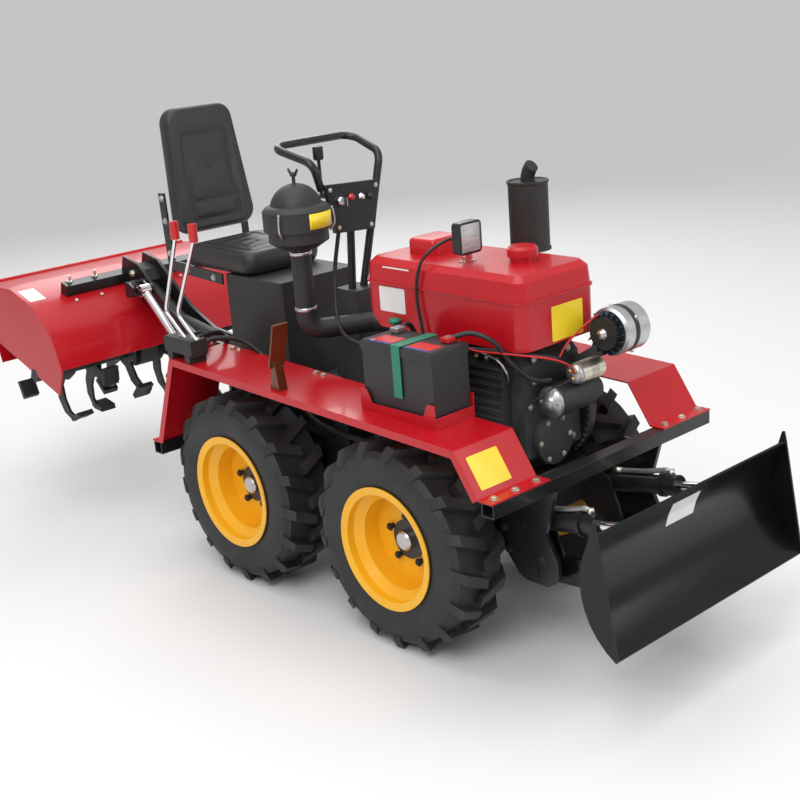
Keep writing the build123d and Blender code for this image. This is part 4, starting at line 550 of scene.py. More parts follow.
# Nodes in more than one finish, parted at a height or a width
parted = {
    "alternator": dict(materials=["alloy", "satinBlack"], bevel=1.0, pick=lambda x, y, z: y < 83.5),
    "starter_motor": dict(materials=["satinBlack", "zinc"], bevel=1.0, pick=solenoidRegion),
    "control_valve": dict(materials=["satinBlack", "chrome", "knobRed"], bevel=1.0,
                          pick=lambda x, y, z: (z > 742) + (z > 1034).astype(int)),
    "battery": dict(materials=["batteryCase", "alloy"], bevel=1.5, pick=lambda x, y, z: z > 835),
    "work_lamp": dict(materials=["blackPaint", "chrome"], bevel=0.8, pick=lambda x, y, z: z < 1008),
}
for node, values in parted.items():
    dressNode(node, **values)
print("stage nodes", flush=True)


# Seat: both cushions are inflated as cloth over seams that stay down

seatBack = dict(foot=(-812, 968), head=(-866, 1362), thick=62, halfWidth=149, narrowing=22, corner=46, edge=20,
                seams=[10, 96, 196, 305], sideSeam=84)
seatPan = dict(rear=-812, front=-478, bottom=866.3, top=938, halfWidth=149, narrowing=4, corner=44, edge=22,
               seams=[54, 118, 182, 246, 298], sideSeam=96, sideRise=16, sideRiseFrom=0.6, rearRise=14,
               rearRiseFrom=0.75)
padCloth = dict(voxel=0.0045, quality=6, mass=0.4, stretch=22, shear=12, bending=14, pressure=2.6, frames=20,
                smoothing=0.5, smoothings=2, seamDepth=6.0, seamWidth=5.5, seamHeld=5, backHeld=0.28)
padRings = dict(flat=30, innermost=0.03, outermost=0.88, bend=7)


# An outline from (0, 0) to its length: four quarter circles, about the middles that the half widths at foot and
# head give, joined by straight sides; (u, v) pairs
def padOutline(halfWidth, length, radius, steps=48):
    head, foot = halfWidth(length) - radius, halfWidth(0) - radius
    middles = np.array([(head, length - radius), (-head, length - radius), (-foot, radius), (foot, radius)])
    angle = np.radians(90 * np.arange(4)[:, None] + np.linspace(0, 90, steps))
    return (middles[:, None] + radius * np.stack((np.cos(angle), np.sin(angle)), -1)).reshape(-1, 2)


# Distance from the nearest seam: cross seams at the given lengths, framed by a long seam each side
def nearSeam(u, v, seams, sideSeam):
    between = (seams[0] <= v) & (v <= seams[-1])
    cross = np.where(np.abs(u) <= sideSeam, np.abs(v[..., None] - seams).min(-1), 99)
    return np.minimum(cross, np.where(between, np.abs(np.abs(u) - sideSeam), 99))


# The pad's surface: rings of the outline drawn in towards its middle, first over the front face and then over
# the back; the depth follows a quarter ellipse over the outer edge and is flat within it, less a bell curve of
# the distance from the nearest seam on the front
def padMesh(outline, thick, edge, toWorld, seams, sideSeam):
    middle = outline.mean(axis=0)
    reach = np.linalg.norm(outline - middle, axis=1).mean()
    turn = np.linspace(math.pi / 2, 0, padRings["bend"])
    flat = np.linspace(padRings["innermost"], padRings["outermost"], padRings["flat"])
    share = np.concatenate([flat, 1 - edge / reach * (1 - np.cos(turn))])
    depth = thick / 2 * np.concatenate([np.ones(len(flat)), np.sin(turn)])
    share, depth = np.append(share, share[-2::-1]), np.append(depth, -depth[-2::-1])[:, None]
    u, v = np.moveaxis(middle + (outline - middle) * share[:, None, None], -1, 0)
    relief = -padCloth["seamDepth"] * np.exp(-(nearSeam(u, v, seams, sideSeam) / padCloth["seamWidth"]) ** 2)
    points = toWorld(u, v, depth + np.where(depth > thick * 0.3, relief, 0))
    return points.reshape(-1, 3), ringFaces(len(share), len(outline))


def inflate(obj, held):
    values = padCloth
    bpy.context.view_layer.objects.active = obj
    for o in bpy.context.selected_objects:
        o.select_set(False)
    obj.select_set(True)
    remesh = obj.modifiers.new("remesh", "REMESH")
    remesh.mode = "VOXEL"
    remesh.voxel_size = values["voxel"]
    remesh.use_smooth_shade = True
    bpy.ops.object.modifier_apply(modifier="remesh")
    places = np.empty(len(obj.data.vertices) * 3, np.float32)
    obj.data.vertices.foreach_get("co", places)
    rest = np.flatnonzero(held(*places.astype(float).reshape(-1, 3).T)).tolist()
    obj.vertex_groups.new(name="held").add(rest, 1.0, "REPLACE")
    cloth = obj.modifiers.new("cloth", "CLOTH")
    settings = cloth.settings
    settings.quality = values["quality"]
    settings.mass = values["mass"]
    settings.tension_stiffness = settings.compression_stiffness = values["stretch"]
    settings.shear_stiffness = values["shear"]
    settings.bending_stiffness = values["bending"]
    settings.use_pressure = True
    settings.uniform_pressure_force = values["pressure"]
    settings.vertex_group_mass = "held"
    settings.effector_weights.gravity = 0
    cloth.collision_settings.use_collision = False
    cloth.point_cache.frame_start, cloth.point_cache.frame_end = 1, values["frames"]
    for step in range(1, values["frames"] + 1):
        bpy.context.scene.frame_set(step)
    bpy.ops.object.modifier_apply(modifier="cloth")
    bpy.context.scene.frame_set(1)
    smoother = obj.modifiers.new("smooth", "SMOOTH")
    smoother.factor, smoother.iterations = values["smoothing"], values["smoothings"]
    bpy.ops.object.modifier_apply(modifier="smooth")
    obj.data.polygons.foreach_set("use_smooth", [True] * len(obj.data.polygons))


def seatPad(name, node, outline, thick, edge, toWorld, fromWorld, seams, sideSeam):
    obj = meshObject(name, *padMesh(outline, thick, edge, toWorld, seams, sideSeam), "seatVinyl", "machine")
    def held(x, y, z):
        u, v, w = fromWorld(x, y, z)
        onSeam = (w > 0) & (nearSeam(u, v, seams, sideSeam) < padCloth["seamHeld"])
        return (w < -thick * padCloth["backHeld"]) | onSeam
    inflate(obj, held)
    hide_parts(node)


backRun = np.subtract(seatBack["head"], seatBack["foot"])
backLength = math.hypot(*backRun)
alongX, alongZ = backRun / backLength
backMiddle = seatBack["thick"] / 2
panLength = seatPan["front"] - seatPan["rear"]
panMiddle = (seatPan["bottom"] + seatPan["top"]) / 2


# Up the leaning back by v, and forward of its middle plane by w
def backToWorld(u, v, w):
    x = seatBack["foot"][0] + alongX * v + alongZ * (w - backMiddle)
    z = seatBack["foot"][1] + alongZ * v - alongX * (w - backMiddle)
    return toPlaces(np.stack((x, u, z), -1))


def backFromWorld(x, y, z):
    dx, dz = (x - shiftX) * 1000 - seatBack["foot"][0], z * 1000 - seatBack["foot"][1]
    return y * 1000, dx * alongX + dz * alongZ, dx * alongZ - dz * alongX + backMiddle


# Back from the front edge by v, and above the middle plane by w, with both sides and the rear raised
def panToWorld(u, v, w):
    sideLift = np.maximum(0.0, np.abs(u) / seatPan["halfWidth"] - seatPan["sideRiseFrom"]) ** 1.5
    rearLift = np.maximum(0.0, v / panLength - seatPan["rearRiseFrom"])
    z = panMiddle + w + seatPan["sideRise"] * sideLift + seatPan["rearRise"] * rearLift
    return toPlaces(np.stack((seatPan["front"] - v, u, z), -1))


def panFromWorld(x, y, z):
    return y * 1000, seatPan["front"] - (x - shiftX) * 1000, z * 1000 - panMiddle


backOutline = padOutline(lambda v: seatBack["halfWidth"] - seatBack["narrowing"] * (v / backLength) ** 2,
                         backLength, seatBack["corner"])
panOutline = padOutline(lambda v: seatPan["halfWidth"] - seatPan["narrowing"] * (1 - v / panLength),
                        panLength, seatPan["corner"])
seatPad("seatBackPad", "seat_back", backOutline, seatBack["thick"], seatBack["edge"], backToWorld, backFromWorld,
        seatBack["seams"], seatBack["sideSeam"])
seatPad("seatPanPad", "seat_cushion", panOutline, seatPan["top"] - seatPan["bottom"], seatPan["edge"], panToWorld,
        panFromWorld, seatPan["seams"], seatPan["sideSeam"])
print("stage seat", flush=True)


# Fasteners

# Heads through the fenders' feet, and in pairs along their tops
fenderBolts = dict(frontFoot=(750, 528), rearFoot=(-680, 389), footY=(252, 326, 400), footSize=9,
                   rearTop=(-540, 674), frontTop=(654, 635), topX=(-455, -59, 335), topY=244, spread=16, topSize=8)


def fenderTop(x):
    (x0, z0), (x1, z1) = fenderBolts["rearTop"], fenderBolts["frontTop"]
    return z0 + (x - x0) / (x1 - x0) * (z1 - z0)


rows = []
for _, sign in sides:
    for y in fenderBolts["footY"]:
        for x, z in (fenderBolts["frontFoot"], fenderBolts["rearFoot"]):
            rows.append((x, sign * y, z, up, fenderBolts["footSize"]))
    for middle in fenderBolts["topX"]:
        for x in (middle - fenderBolts["spread"], middle + fenderBolts["spread"]):
            rows.append((x, sign * fenderBolts["topY"], fenderTop(x), up, fenderBolts["topSize"]))
bolts("fenderBolts", "machine", "zinc", rows)

# Heads on the brackets' outer sides and along both rails
chassisBolts = dict(bracketY=212, bracketSize=10,
                    brackets=((598, 430), (598, 356), (640, 478), (700, 462), (726, 300), (610, 300)),
                    railY=200, railZ=392, railSize=8, rail=(-620, -500, -380, -160, 20, 180, 470, 540))
rows = []
for _, sign in sides:
    rows += [(x, sign * chassisBolts["bracketY"], z, (0, sign, 0), chassisBolts["bracketSize"])
             for x, z in chassisBolts["brackets"]]
    rows += [(x, sign * chassisBolts["railY"], chassisBolts["railZ"], (0, sign, 0), chassisBolts["railSize"])
             for x in chassisBolts["rail"]]
bolts("chassisBolts", "machine", "darkIron", rows)

wheelNuts = dict(count=5, circle=67, stand=5, size=8.5)
valveStem = dict(path=((112, -8, 18), (116, 12, 20), (118, 34, 22)), radius=(5, 3.6))
for key, (wx, wy, wz, sign) in wheelCentres.items():
    rows = []
    for i in range(wheelNuts["count"]):
        angle = 2 * math.pi * i / wheelNuts["count"] + math.pi / 2
        rows.append((wx + wheelNuts["circle"] * math.cos(angle), wy + sign * wheelNuts["stand"],
                     wz + wheelNuts["circle"] * math.sin(angle), (0, sign, 0), wheelNuts["size"]))
    bolts("wheelNuts_" + key, "wheel_" + key, "satinBlack", rows)
    path = [(wx + dx, wy + sign * out, wz + dz) for dx, out, dz in valveStem["path"]]
    meshObject("valveStem_" + key, *tubeMesh(path, valveStem["radius"], 6, 12), "cableBlack", "wheel_" + key)

# Nut and stud on the tiller's bar, and the head of the same bolt on the hood before it
barBolts = dict(y=(-265, -165, 165, 265), top=(-1387, 776.2), topAxis=(0.29, 0, 0.957), size=10,
                stud=[(4.6, 0), (4.6, 24), (3.6, 26)], foot=(-1354, 716.1), footAxis=(0.66, 0, 0.75), footSize=7)
parts = []
for y in barBolts["y"]:
    top, foot = ((x, y, z) for x, z in (barBolts["top"], barBolts["foot"]))
    parts += [boltMesh(top, barBolts["topAxis"], barBolts["size"], washer=False),
              turned(top, barBolts["topAxis"], barBolts["stud"], 12),
              boltMesh(foot, barBolts["footAxis"], barBolts["footSize"], washer=False)]
meshObject("tillerBarBolts", *joinMeshes(parts), "zinc", "tiller", smooth=False)

armBolts = dict(y=47, size=11, places=((-1330, 770), (-1270, 742), (-1150, 642), (-990, 562), (-860, 550)))
bolts("tillerArmBolts", "tiller", "zinc", [(x, sign * armBolts["y"], z, (0, sign, 0), armBolts["size"])
                                           for _, sign in sides for x, z in armBolts["places"]])
bearingBolts = dict(y=430, size=9, places=((-1395, 520), (-1455, 520), (-1455, 560), (-1395, 560)))
bolts("tillerBearingBolts", "tiller", "steel", [(x, bearingBolts["y"], z, left, bearingBolts["size"])
                                                for x, z in bearingBolts["places"]])
strapBolts = dict(y=155.3, size=8, places=((-902, 1082), (-896, 1010), (-893, 905), (-800, 862), (-660, 851)))
bolts("seatStrapBolts", "machine", "steel", [(x, sign * strapBolts["y"], z, (0, sign, 0), strapBolts["size"])
                                             for _, sign in sides for x, z in strapBolts["places"]])
print("stage fasteners", flush=True)


# Blank plates on fender slope, tank, tiller and air cleaner

plates = {
    "slopePlate": dict(corners=[(716, -404, 542), (716, -300, 542), (668, -300, 614), (668, -404, 614)],
                       normal=(0.836, 0, 0.549), material="plateYellow"),
    "tankFrontPlate": dict(corners=[(636.5, -46, 806), (636.5, 72, 806), (636.5, 72, 896), (636.5, -46, 896)],
                           normal=front, material="plateYellow"),
    "tankCard": dict(corners=[(118, -152.4, 846), (218, -152.4, 846), (218, -152.4, 914), (118, -152.4, 914)],
                     normal=right, material="plateWhite"),
    "tankRearPlate": dict(corners=[(132, -148.4, 940), (236, -148.4, 940), (236, -147.2, 968), (132, -147.2, 968)],
                          normal=(0, -1, 0.1), material="plateWhite"),
    "tillerPlate": dict(corners=[(-1480, -416, 763), (-1395, -416, 737), (-1395, -356, 737), (-1480, -356, 763)],
                        normal=(0.29, 0, 0.957), material="plateWhite", body="tiller"),
}
for name, values in plates.items():
    platePiece(name, **values)

# The air cleaner's plate: a flat ring profile carried round part of its drum
cleanerPlate = dict(middle=(-140, -207), low=1066, high=1108, inner=96.2, outer=96.8, turn=(-18, 38), steps=15)
angle = np.radians(np.linspace(*cleanerPlate["turn"], cleanerPlate["steps"]))[:, None]
radius = np.array([cleanerPlate[k] for k in ("inner", "outer", "outer", "inner")])
height = np.array([cleanerPlate[k] for k in ("low", "low", "high", "high")]) + 0 * angle
points = np.stack((cleanerPlate["middle"][0] + radius * np.cos(angle),
                   cleanerPlate["middle"][1] + radius * np.sin(angle), height), -1)
meshObject("cleanerPlate", toPlaces(points.reshape(-1, 3)), ringFaces(len(angle), 4), "plateYellow", "machine")
print("stage plates", flush=True)


# Battery: clamp strap, terminals, blank plates and cables

batteryBoxes = {
    "batteryStrapTop": dict(low=(378, -356.5, 833.5), high=(412, -224, 836), material="greenBand", bevel=0.8),
    "batteryStrapFront": dict(low=(380, -357.5, 700), high=(410, -355.2, 835), material="greenBand", bevel=0.6),
    "batteryPlateA": dict(low=(420, -340, 833.5), high=(500, -292, 834.3), material="plateRed", bevel=0.3),
    "batteryPlateB": dict(low=(290, -340, 833.5), high=(366, -292, 834.3), material="plateRed", bevel=0.3),
    "batteryPlateC": dict(low=(420, -349, 833.5), high=(500, -342, 834.3), material="plateBlue", bevel=0.3),
    "batteryPlateD": dict(low=(290, -349, 833.5), high=(366, -342, 834.3), material="plateBlue", bevel=0.3),
    "terminalClamp0": dict(low=(284, -272, 834), high=(312, -238, 848), material="alloy", bevel=3),
    "terminalClamp1": dict(low=(468, -272, 834), high=(496, -238, 848), material="cableRed", bevel=3),
}
batteryCables = {
    "batteryCableRed": dict(radius=6.5, material="cableBlack", points=[
        (482, -252, 842), (520, -214, 852), (572, -188, 830), (590, -150, 770), (612, -100, 720), (640, -60, 712)]),
    "batteryCableBlack": dict(radius=6.5, material="cableBlack", points=[
        (298, -252, 842), (300, -218, 846), (296, -190, 800), (306, -170, 720), (330, -140, 640)]),
}
for name, values in batteryBoxes.items():
    boxPiece(name, **values)
for name, values in batteryCables.items():
    tubePiece(name, **values)


# Work lamp: reflector with its beads, lens, and the cable over the tank

# Beads stand in rows and columns about the reflector's middle
lampBeads = dict(middle=(386.2, -64, 1052), count=4, stepY=15, stepZ=17,
                 profile=[(5.5, 0), (5.2, 0.6), (3.4, -0.1)])
lampBoxes = {
    "lampReflector": dict(low=(385.6, -97, 1017), high=(386.4, -31, 1087), material="lampWhite", bevel=0),
    "lampLens": dict(low=(387, -98.5, 1015.5), high=(390.5, -29.5, 1088.5), material="lampGlass", bevel=1.2),
}
lampCable = dict(radius=4.2, material="cableBlack", points=[
    (352, -64, 1040), (330, -90, 1046), (300, -140, 1014), (282, -158, 968), (276, -163, 900), (290, -164, 820),
    (300, -170, 770)])
for name, values in lampBoxes.items():
    boxPiece(name, **values)
x, y, z = lampBeads["middle"]
steps = np.arange(lampBeads["count"]) - (lampBeads["count"] - 1) / 2
parts = [turned((x, y + lampBeads["stepY"] * i, z + lampBeads["stepZ"] * j), front, lampBeads["profile"], 16)
         for i in steps for j in steps]
meshObject("lampBeads", *joinMeshes(parts), "chrome", "machine")
tubePiece("lampCable", **lampCable)


# Air cleaner: clamp bands on its pipe, wing nut and clips

cleaner = dict(x=-140, y=-207, bands=(990, 830), bandProfile=[(29.6, -6), (31.6, -5), (31.6, 5), (29.6, 6)],
               nutZ=1190, nutProfile=[(4, 0), (4, 12), (9, 12.5), (10, 18), (6, 23)],
               wing=((6, 1204), (16, 1216), (20, 1222)), wingRadius=(4.5, 3),
               clipCount=3, clipFrom=0.9, clip=((97, 1112), (101, 1092), (101, 1066), (88, 1046)), clipRadius=3)
cx, cy = cleaner["x"], cleaner["y"]
parts = [turned((cx, cy, z), up, cleaner["bandProfile"], 32) for z in cleaner["bands"]]
meshObject("intakeBands", *joinMeshes(parts), "steel", "machine")
parts = [turned((cx, cy, cleaner["nutZ"]), up, cleaner["nutProfile"], 16)]
for _, sign in sides:
    parts.append(tubeMesh([(cx + sign * dx, cy, z) for dx, z in cleaner["wing"]], cleaner["wingRadius"], 4, 10))
meshObject("cleanerNut", *joinMeshes(parts), "satinBlack", "machine")
parts = []
for k in range(cleaner["clipCount"]):
    angle = 2 * math.pi * k / cleaner["clipCount"] + cleaner["clipFrom"]
    path = [(cx + r * math.cos(angle), cy + r * math.sin(angle), z) for r, z in cleaner["clip"]]
    parts.append(tubeMesh(path, cleaner["clipRadius"], 6, 10))
meshObject("cleanerClips", *joinMeshes(parts), "steel", "machine")


# Engine: fuel lines, wiring, filter, filler, tap, starter's caps and bolts

engineTubes = {
    "injectorPipe": dict(radius=3.4, material="steel", points=[
        (548, -118, 700), (560, -140, 742), (520, -150, 776), (300, -118, 782), (120, -100, 776), (70, -72, 770)]),
    "fuelLine": dict(radius=4.2, material="cableBlack", points=[
        (188, -118, 800), (196, -138, 772), (260, -150, 742), (380, -156, 730), (420, -150, 716)]),
    "wireRed": dict(radius=2.6, material="cableRed", points=[
        (687, -26, 730), (700, -60, 760), (690, -120, 790), (600, -170, 800), (500, -190, 800), (470, -210, 826)]),
    "wireLoom": dict(radius=6, material="cableBlack", points=[
        (640, -30, 760), (600, -130, 792), (460, -168, 792), (300, -172, 772), (120, -170, 742), (-60, -150, 760),
        (-130, -100, 900), (-146, -60, 1020)]),
    "wireFine": dict(radius=2.2, material="cableBlack", points=[
        (676, -24, 710), (650, -90, 690), (600, -124, 640), (560, -132, 560)]),
    "alternatorWire": dict(radius=2.6, material="cableRed", points=[
        (706, 100, 866), (680, 60, 850), (650, 0, 800), (640, -30, 760)]),
}
engineTurned = {
    "fuelFilter": dict(at=(290, -128, 700), axis=up, around=28, material="castGrey",
                       profile=[(16, -34), (22, -30), (22, 22), (24, 23), (24, 34), (12, 40)]),
    "oilFiller": dict(at=(330, -60, 790), axis=(0, -1, 0.2), around=22, material="satinBlack",
                      profile=[(12, 0), (12, 60), (20, 60), (22, 66), (22, 80), (16, 84)]),
    "tapBody": dict(at=(182, -126, 806), axis=right, around=16, material="brass",
                    profile=[(7, 0), (7, 22), (11, 22), (11, 34), (6, 36), (6, 52)]),
    "tapHandle": dict(at=(182, -160, 820), axis=up, around=20, material="greenBand",
                      profile=[(5, -12), (5, 0), (17, 1), (19, 6), (17, 12), (6, 14)]),
    "starterCap": dict(at=(640, -62, 655), axis=right, around=36, material="alloy",
                       profile=[(41, -1), (41, 3), (38, 9), (20, 11), (16, 18), (15, 19)]),
    "solenoidCap": dict(at=(676, -6, 722), axis=right, around=32, material="alloy",
                        profile=[(26.5, -0.5), (26.5, 8), (22, 14), (21, 15)]),
    "solenoidSleeve": dict(at=(676, 24, 722), axis=left, around=40, material="satinBlack",
                           profile=[(25, 0), (27, 0), (27, 30), (25, 30)]),
}
for name, values in engineTubes.items():
    tubePiece(name, **values)
for name, values in engineTurned.items():
    turnedPiece(name, **values)

engineBolts = dict(sideY=-112, lowZ=556, highZ=756, firstX=430, stepX=37.5, perRow=4, rowSize=6.5,
                   side=((318, 500), (318, 740), (574, 520), (574, 742), (400, 478)), size=7,
                   frontX=592, front=((-70, 700), (-70, 760), (60, 760), (70, 520), (-90, 640)),
                   coverAt=(608, -16, 538), coverCount=6, coverCircle=56, coverSize=5.5)
values = engineBolts
rows = [(values["firstX"] + k * values["stepX"], values["sideY"], z, right, values["rowSize"])
        for z in (values["lowZ"], values["highZ"]) for k in range(values["perRow"])]
rows += [(x, values["sideY"], z, right, values["size"]) for x, z in values["side"]]
rows += [(values["frontX"], y, z, front, values["size"]) for y, z in values["front"]]
x, y, z = values["coverAt"]
for angle in 2 * math.pi * np.arange(values["coverCount"]) / values["coverCount"]:
    rows.append((x, y + values["coverCircle"] * math.cos(angle), z + values["coverCircle"] * math.sin(angle),
                 front, values["coverSize"]))
bolts("engineBolts", "machine", "zinc", rows)

starterStuds = dict(at=(676, -20, 722), size=5, offsets=((-11, 8), (11, 8), (0, -12)))
starterBolts = dict(at=(640, -71, 655), size=4, offsets=((-26, 0), (26, 0)))
for name, material, values in (("solenoidStuds", "brass", starterStuds), ("starterBolts", "steel", starterBolts)):
    x, y, z = values["at"]
    bolts(name, "machine", material, [(x + dx, y, z + dz, right, values["size"]) for dx, dz in values["offsets"]])


# Alternator: fan blades, stator band, pulley nut and bolts

# Each blade is a flat bar from one radius to another, leaning by a distance along the turn at either end
alternator = dict(x=708, z=812, blades=18, bladeFrom=(45, -2), bladeTo=(57, 5), bladeY=(81, 66), halfThick=0.8,
                  boltY=133, boltCircle=63, boltTurns=(0.6, 2.2, 3.9, 5.3), boltSize=6)
alternatorTurned = {
    "alternatorBand": dict(at=(708, 118, 812), axis=left, around=64, material="satinBlack",
                           profile=[(61.5, 0), (62.6, 0), (62.6, 16), (61.5, 16)]),
    "pulleyNut": dict(at=(708, 62, 812), axis=right, around=18, material="steel",
                      profile=[(14, -0.5), (14, 3), (10, 3), (10, 13), (6, 14)]),
}
parts = []
for angle in 2 * math.pi * np.arange(alternator["blades"]) / alternator["blades"]:
    out, turn = np.array((math.cos(angle), math.sin(angle))), np.array((-math.sin(angle), math.cos(angle)))
    foot, tip = (r * out + lean * turn for r, lean in (alternator["bladeFrom"], alternator["bladeTo"]))
    skin = alternator["halfThick"] * turn
    outline = [foot - skin, tip - skin, tip + skin, foot + skin]
    points = [(alternator["x"] + dx, y, alternator["z"] + dz) for y in alternator["bladeY"] for dx, dz in outline]
    parts.append((toPlaces(points), ringFaces(2, 4)))
meshObject("alternatorFan", *joinMeshes(parts), "steelBlue", "machine", smooth=False)
for name, values in alternatorTurned.items():
    turnedPiece(name, **values)
rows = [(alternator["x"] + alternator["boltCircle"] * math.cos(a), alternator["boltY"],
         alternator["z"] + alternator["boltCircle"] * math.sin(a), (math.cos(a), 0, math.sin(a)),
         alternator["boltSize"]) for a in alternator["boltTurns"]]
bolts("alternatorBolts", "machine", "steel", rows)


# Handle panel: key switch, buttons and corner bolts

buttonProfile = [(10, -1), (10, 5), (7, 6), (7, 11), (5, 12)]
panelTurned = {
    "keySwitch": dict(at=(-127, -60, 1110), axis=front, around=26, material="chrome",
                      profile=[(14, -1), (14, 8), (11, 12), (10, 12.5)]),
    "panelButton0": dict(at=(-127, -20, 1116), axis=front, around=22, material="knobRed", profile=buttonProfile),
    "panelButton1": dict(at=(-127, 18, 1112), axis=front, around=22, material="chrome", profile=buttonProfile),
    "panelButton2": dict(at=(-127, 52, 1108), axis=front, around=22, material="satinBlack", profile=buttonProfile),
}
keyBlade = dict(low=(-116, -61.5, 1098), high=(-94, -58.5, 1122), material="steel", bevel=1)
panelBolts = dict(x=-127, size=5, places=((-92, 1146), (78, 1136), (50, 1026), (-70, 1036)))
for name, values in panelTurned.items():
    turnedPiece(name, **values)
boxPiece("keyBlade", **keyBlade)
bolts("panelBolts", "machine", "zinc", [(panelBolts["x"], y, z, front, panelBolts["size"])
                                        for y, z in panelBolts["places"]])


# Hydraulics: hoses and fittings at the control valve and along the blade's cylinders

valveHoses = {
    "valveHoseA": dict(radius=8, material="cableBlack", points=[
        (-540, -366, 716), (-546, -320, 722), (-580, -262, 704), (-622, -206, 640), (-630, -160, 560),
        (-640, -110, 470)]),
    "valveHoseB": dict(radius=8, material="cableBlack", points=[
        (-500, -366, 716), (-502, -322, 726), (-520, -250, 712), (-560, -200, 650), (-590, -170, 560),
        (-600, -150, 480)]),
    "valveHoseC": dict(radius=8, material="cableBlack", points=[
        (-448, -366, 716), (-440, -318, 724), (-400, -250, 706), (-330, -212, 640), (-240, -206, 560),
        (-120, -208, 486), (200, -208, 470)]),
}
valveFitting = dict(profile=[(13, -1), (13, 12), (10, 13), (10, 26), (11, 27), (11, 40)], around=6)
valveBolts = dict(x=(-548, -512, -456, -432), y=-390, z=740, size=6)
for name, values in valveHoses.items():
    tubePiece(name, **values)
parts = [turned(values["points"][0], left, valveFitting["profile"], valveFitting["around"])
         for values in valveHoses.values()]
meshObject("valveFittings", *joinMeshes(parts), "zinc", "machine")
bolts("valveBolts", "machine", "zinc", [(x, valveBolts["y"], valveBolts["z"], up, valveBolts["size"])
                                        for x in valveBolts["x"]])

# Each hose keeps to its barrel: its points are distances along the barrel's axis and above it
bladeHose = dict(pivot=(642, 372), axis=(0.9856, 0.1696), y=161, radius=7,
                 path=((30, 33), (70, 33), (120, 34), (165, 38), (190, 40), (206, 34)),
                 elbowAxis=(0.2, 0, -1), elbow=[(9, -8), (9, 6), (7, 7), (7, 10)],
                 rearNut=[(9, -14), (9, 2), (8, 3), (8, 16)])
(px, pz), (ax, az) = bladeHose["pivot"], bladeHose["axis"]
for side, sign in sides:
    points = [(px + ax * along - az * above, sign * bladeHose["y"], pz + az * along + ax * above)
              for along, above in bladeHose["path"]]
    tubePiece("bladeHose_" + side, points, bladeHose["radius"], "braid", "blade_barrel_" + side)
    parts = [turned(points[-1], bladeHose["elbowAxis"], bladeHose["elbow"], 12),
             turned(points[0], (ax, 0, az), bladeHose["rearNut"], 6)]
    meshObject("bladeHoseFitting_" + side, *joinMeshes(parts), "zinc", "blade_barrel_" + side)


# Blade: blank plate near its top edge

bladePlate = dict(lowY=-73, highY=36, lowZ=411, highZ=474, fromX=1400, material="plateWhite", body="blade")
laidPlate("bladePlate", "dozer_blade", **bladePlate)


# Studio

studio = dict(flat=7, bend=4, wallTop=9, around=72, colour=(0.8, 0.8, 0.8, 1), rough=0.85, worldStrength=0.7,
              aim=(0, 0, 0.5))
lamps = {
    "key": dict(at=(2.2, -3.4, 4.2), size=3.0, power=120), "fill": dict(at=(4.2, 1.6, 2.4), size=2.4, power=36),
    "rear": dict(at=(-3.6, 2.4, 3.6), size=3.0, power=80), "top": dict(at=(0.0, -0.2, 5.0), size=3.4, power=80),
}
view = dict(at=(2807.35, -2477.72, 1703.34), yaw=2.419518, pitch=0.304236, roll=-0.0781146, lens=60.66)


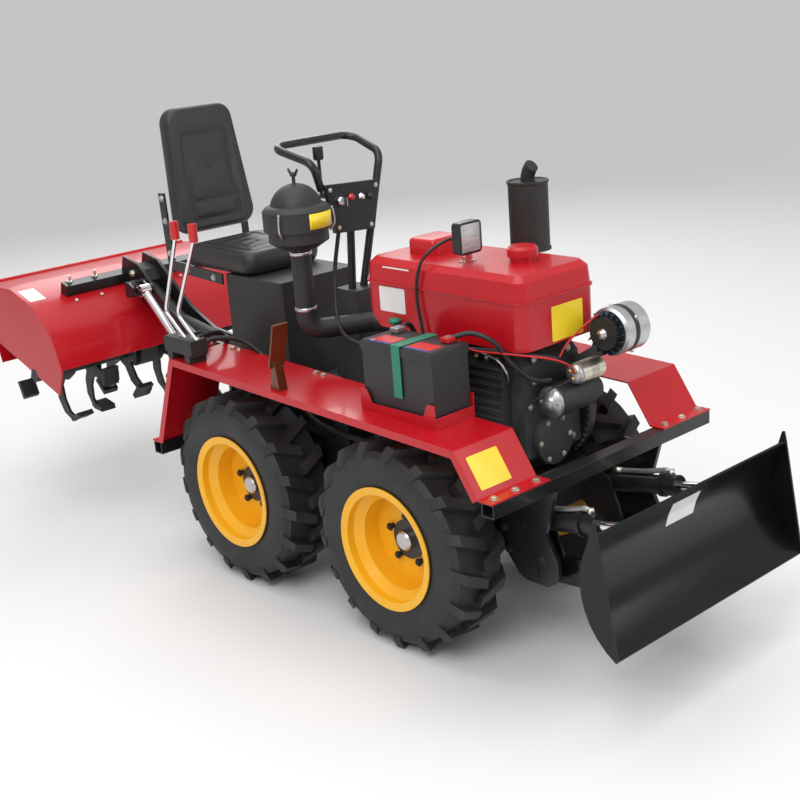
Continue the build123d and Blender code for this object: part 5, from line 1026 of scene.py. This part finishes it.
# The floor runs flat, then bends up along a quarter circle into a round wall
def makeFloor():
    turn = np.linspace(0, math.pi / 2, 13)[1:]
    bend = np.stack((studio["flat"] + studio["bend"] * np.sin(turn), studio["bend"] * (1 - np.cos(turn))), -1)
    profile = np.vstack([(0.5, 0), (studio["flat"], 0), bend, (studio["flat"] + studio["bend"], studio["wallTop"])])
    angle = np.linspace(0, 2 * math.pi, studio["around"], endpoint=False)
    r, z = profile.T[:, :, None]
    points = np.stack((r * np.cos(angle), r * np.sin(angle), z + 0 * angle), -1).reshape(-1, 3)
    faces = [face[::-1] for face in gridFaces(len(profile), len(angle), True)] + [list(range(len(angle)))]
    mesh = bpy.data.meshes.new("floor")
    mesh.from_pydata(points.tolist(), [], faces)
    mesh.polygons.foreach_set("use_smooth", [True] * len(mesh.polygons))
    floor = bpy.data.objects.new("floor", mesh)
    bpy.context.scene.collection.objects.link(floor)
    material = bpy.data.materials.new("floor")
    material.use_nodes = True
    shader = material.node_tree.nodes["Principled BSDF"]
    shader.inputs["Base Color"].default_value = studio["colour"]
    shader.inputs["Roughness"].default_value = studio["rough"]
    mesh.materials.append(material)


def makeLights():
    world = bpy.data.worlds.new("studio")
    bpy.context.scene.world = world
    world.use_nodes = True
    background = world.node_tree.nodes["Background"]
    background.inputs["Color"].default_value = (1, 1, 1, 1)
    background.inputs["Strength"].default_value = studio["worldStrength"]
    for name, values in lamps.items():
        data = bpy.data.lights.new(name, "AREA")
        data.shape = "SQUARE"
        data.size = values["size"]
        data.energy = values["power"]
        lamp = bpy.data.objects.new(name, data)
        lamp.location = values["at"]
        aim = Vector(studio["aim"]) - Vector(values["at"])
        lamp.rotation_euler = aim.to_track_quat("-Z", "Y").to_euler()
        bpy.context.scene.collection.objects.link(lamp)


def makeCamera():
    yaw, pitch, roll = view["yaw"], view["pitch"], view["roll"]
    ahead = Vector((math.cos(pitch) * math.cos(yaw), math.cos(pitch) * math.sin(yaw), -math.sin(pitch)))
    level = ahead.cross(Vector(up)).normalized()
    above = level.cross(ahead)
    c, s = math.cos(roll), math.sin(roll)
    level, above = c * level + s * above, -s * level + c * above
    data = bpy.data.cameras.new("camera")
    data.sensor_width = 36
    data.lens = view["lens"]
    data.clip_end = 100
    camera = bpy.data.objects.new("camera", data)
    matrix = Matrix((level, above, -ahead)).transposed().to_4x4()
    matrix.translation = place(*view["at"])
    camera.matrix_world = matrix
    bpy.context.scene.collection.objects.link(camera)
    bpy.context.scene.camera = camera


makeFloor()
makeLights()
makeCamera()
scene = bpy.context.scene
scene.render.engine = "CYCLES"
scene.render.resolution_x = scene.render.resolution_y = 1000
scene.cycles.samples = 96
scene.view_settings.view_transform = "Standard"
print("stage studio", flush=True)
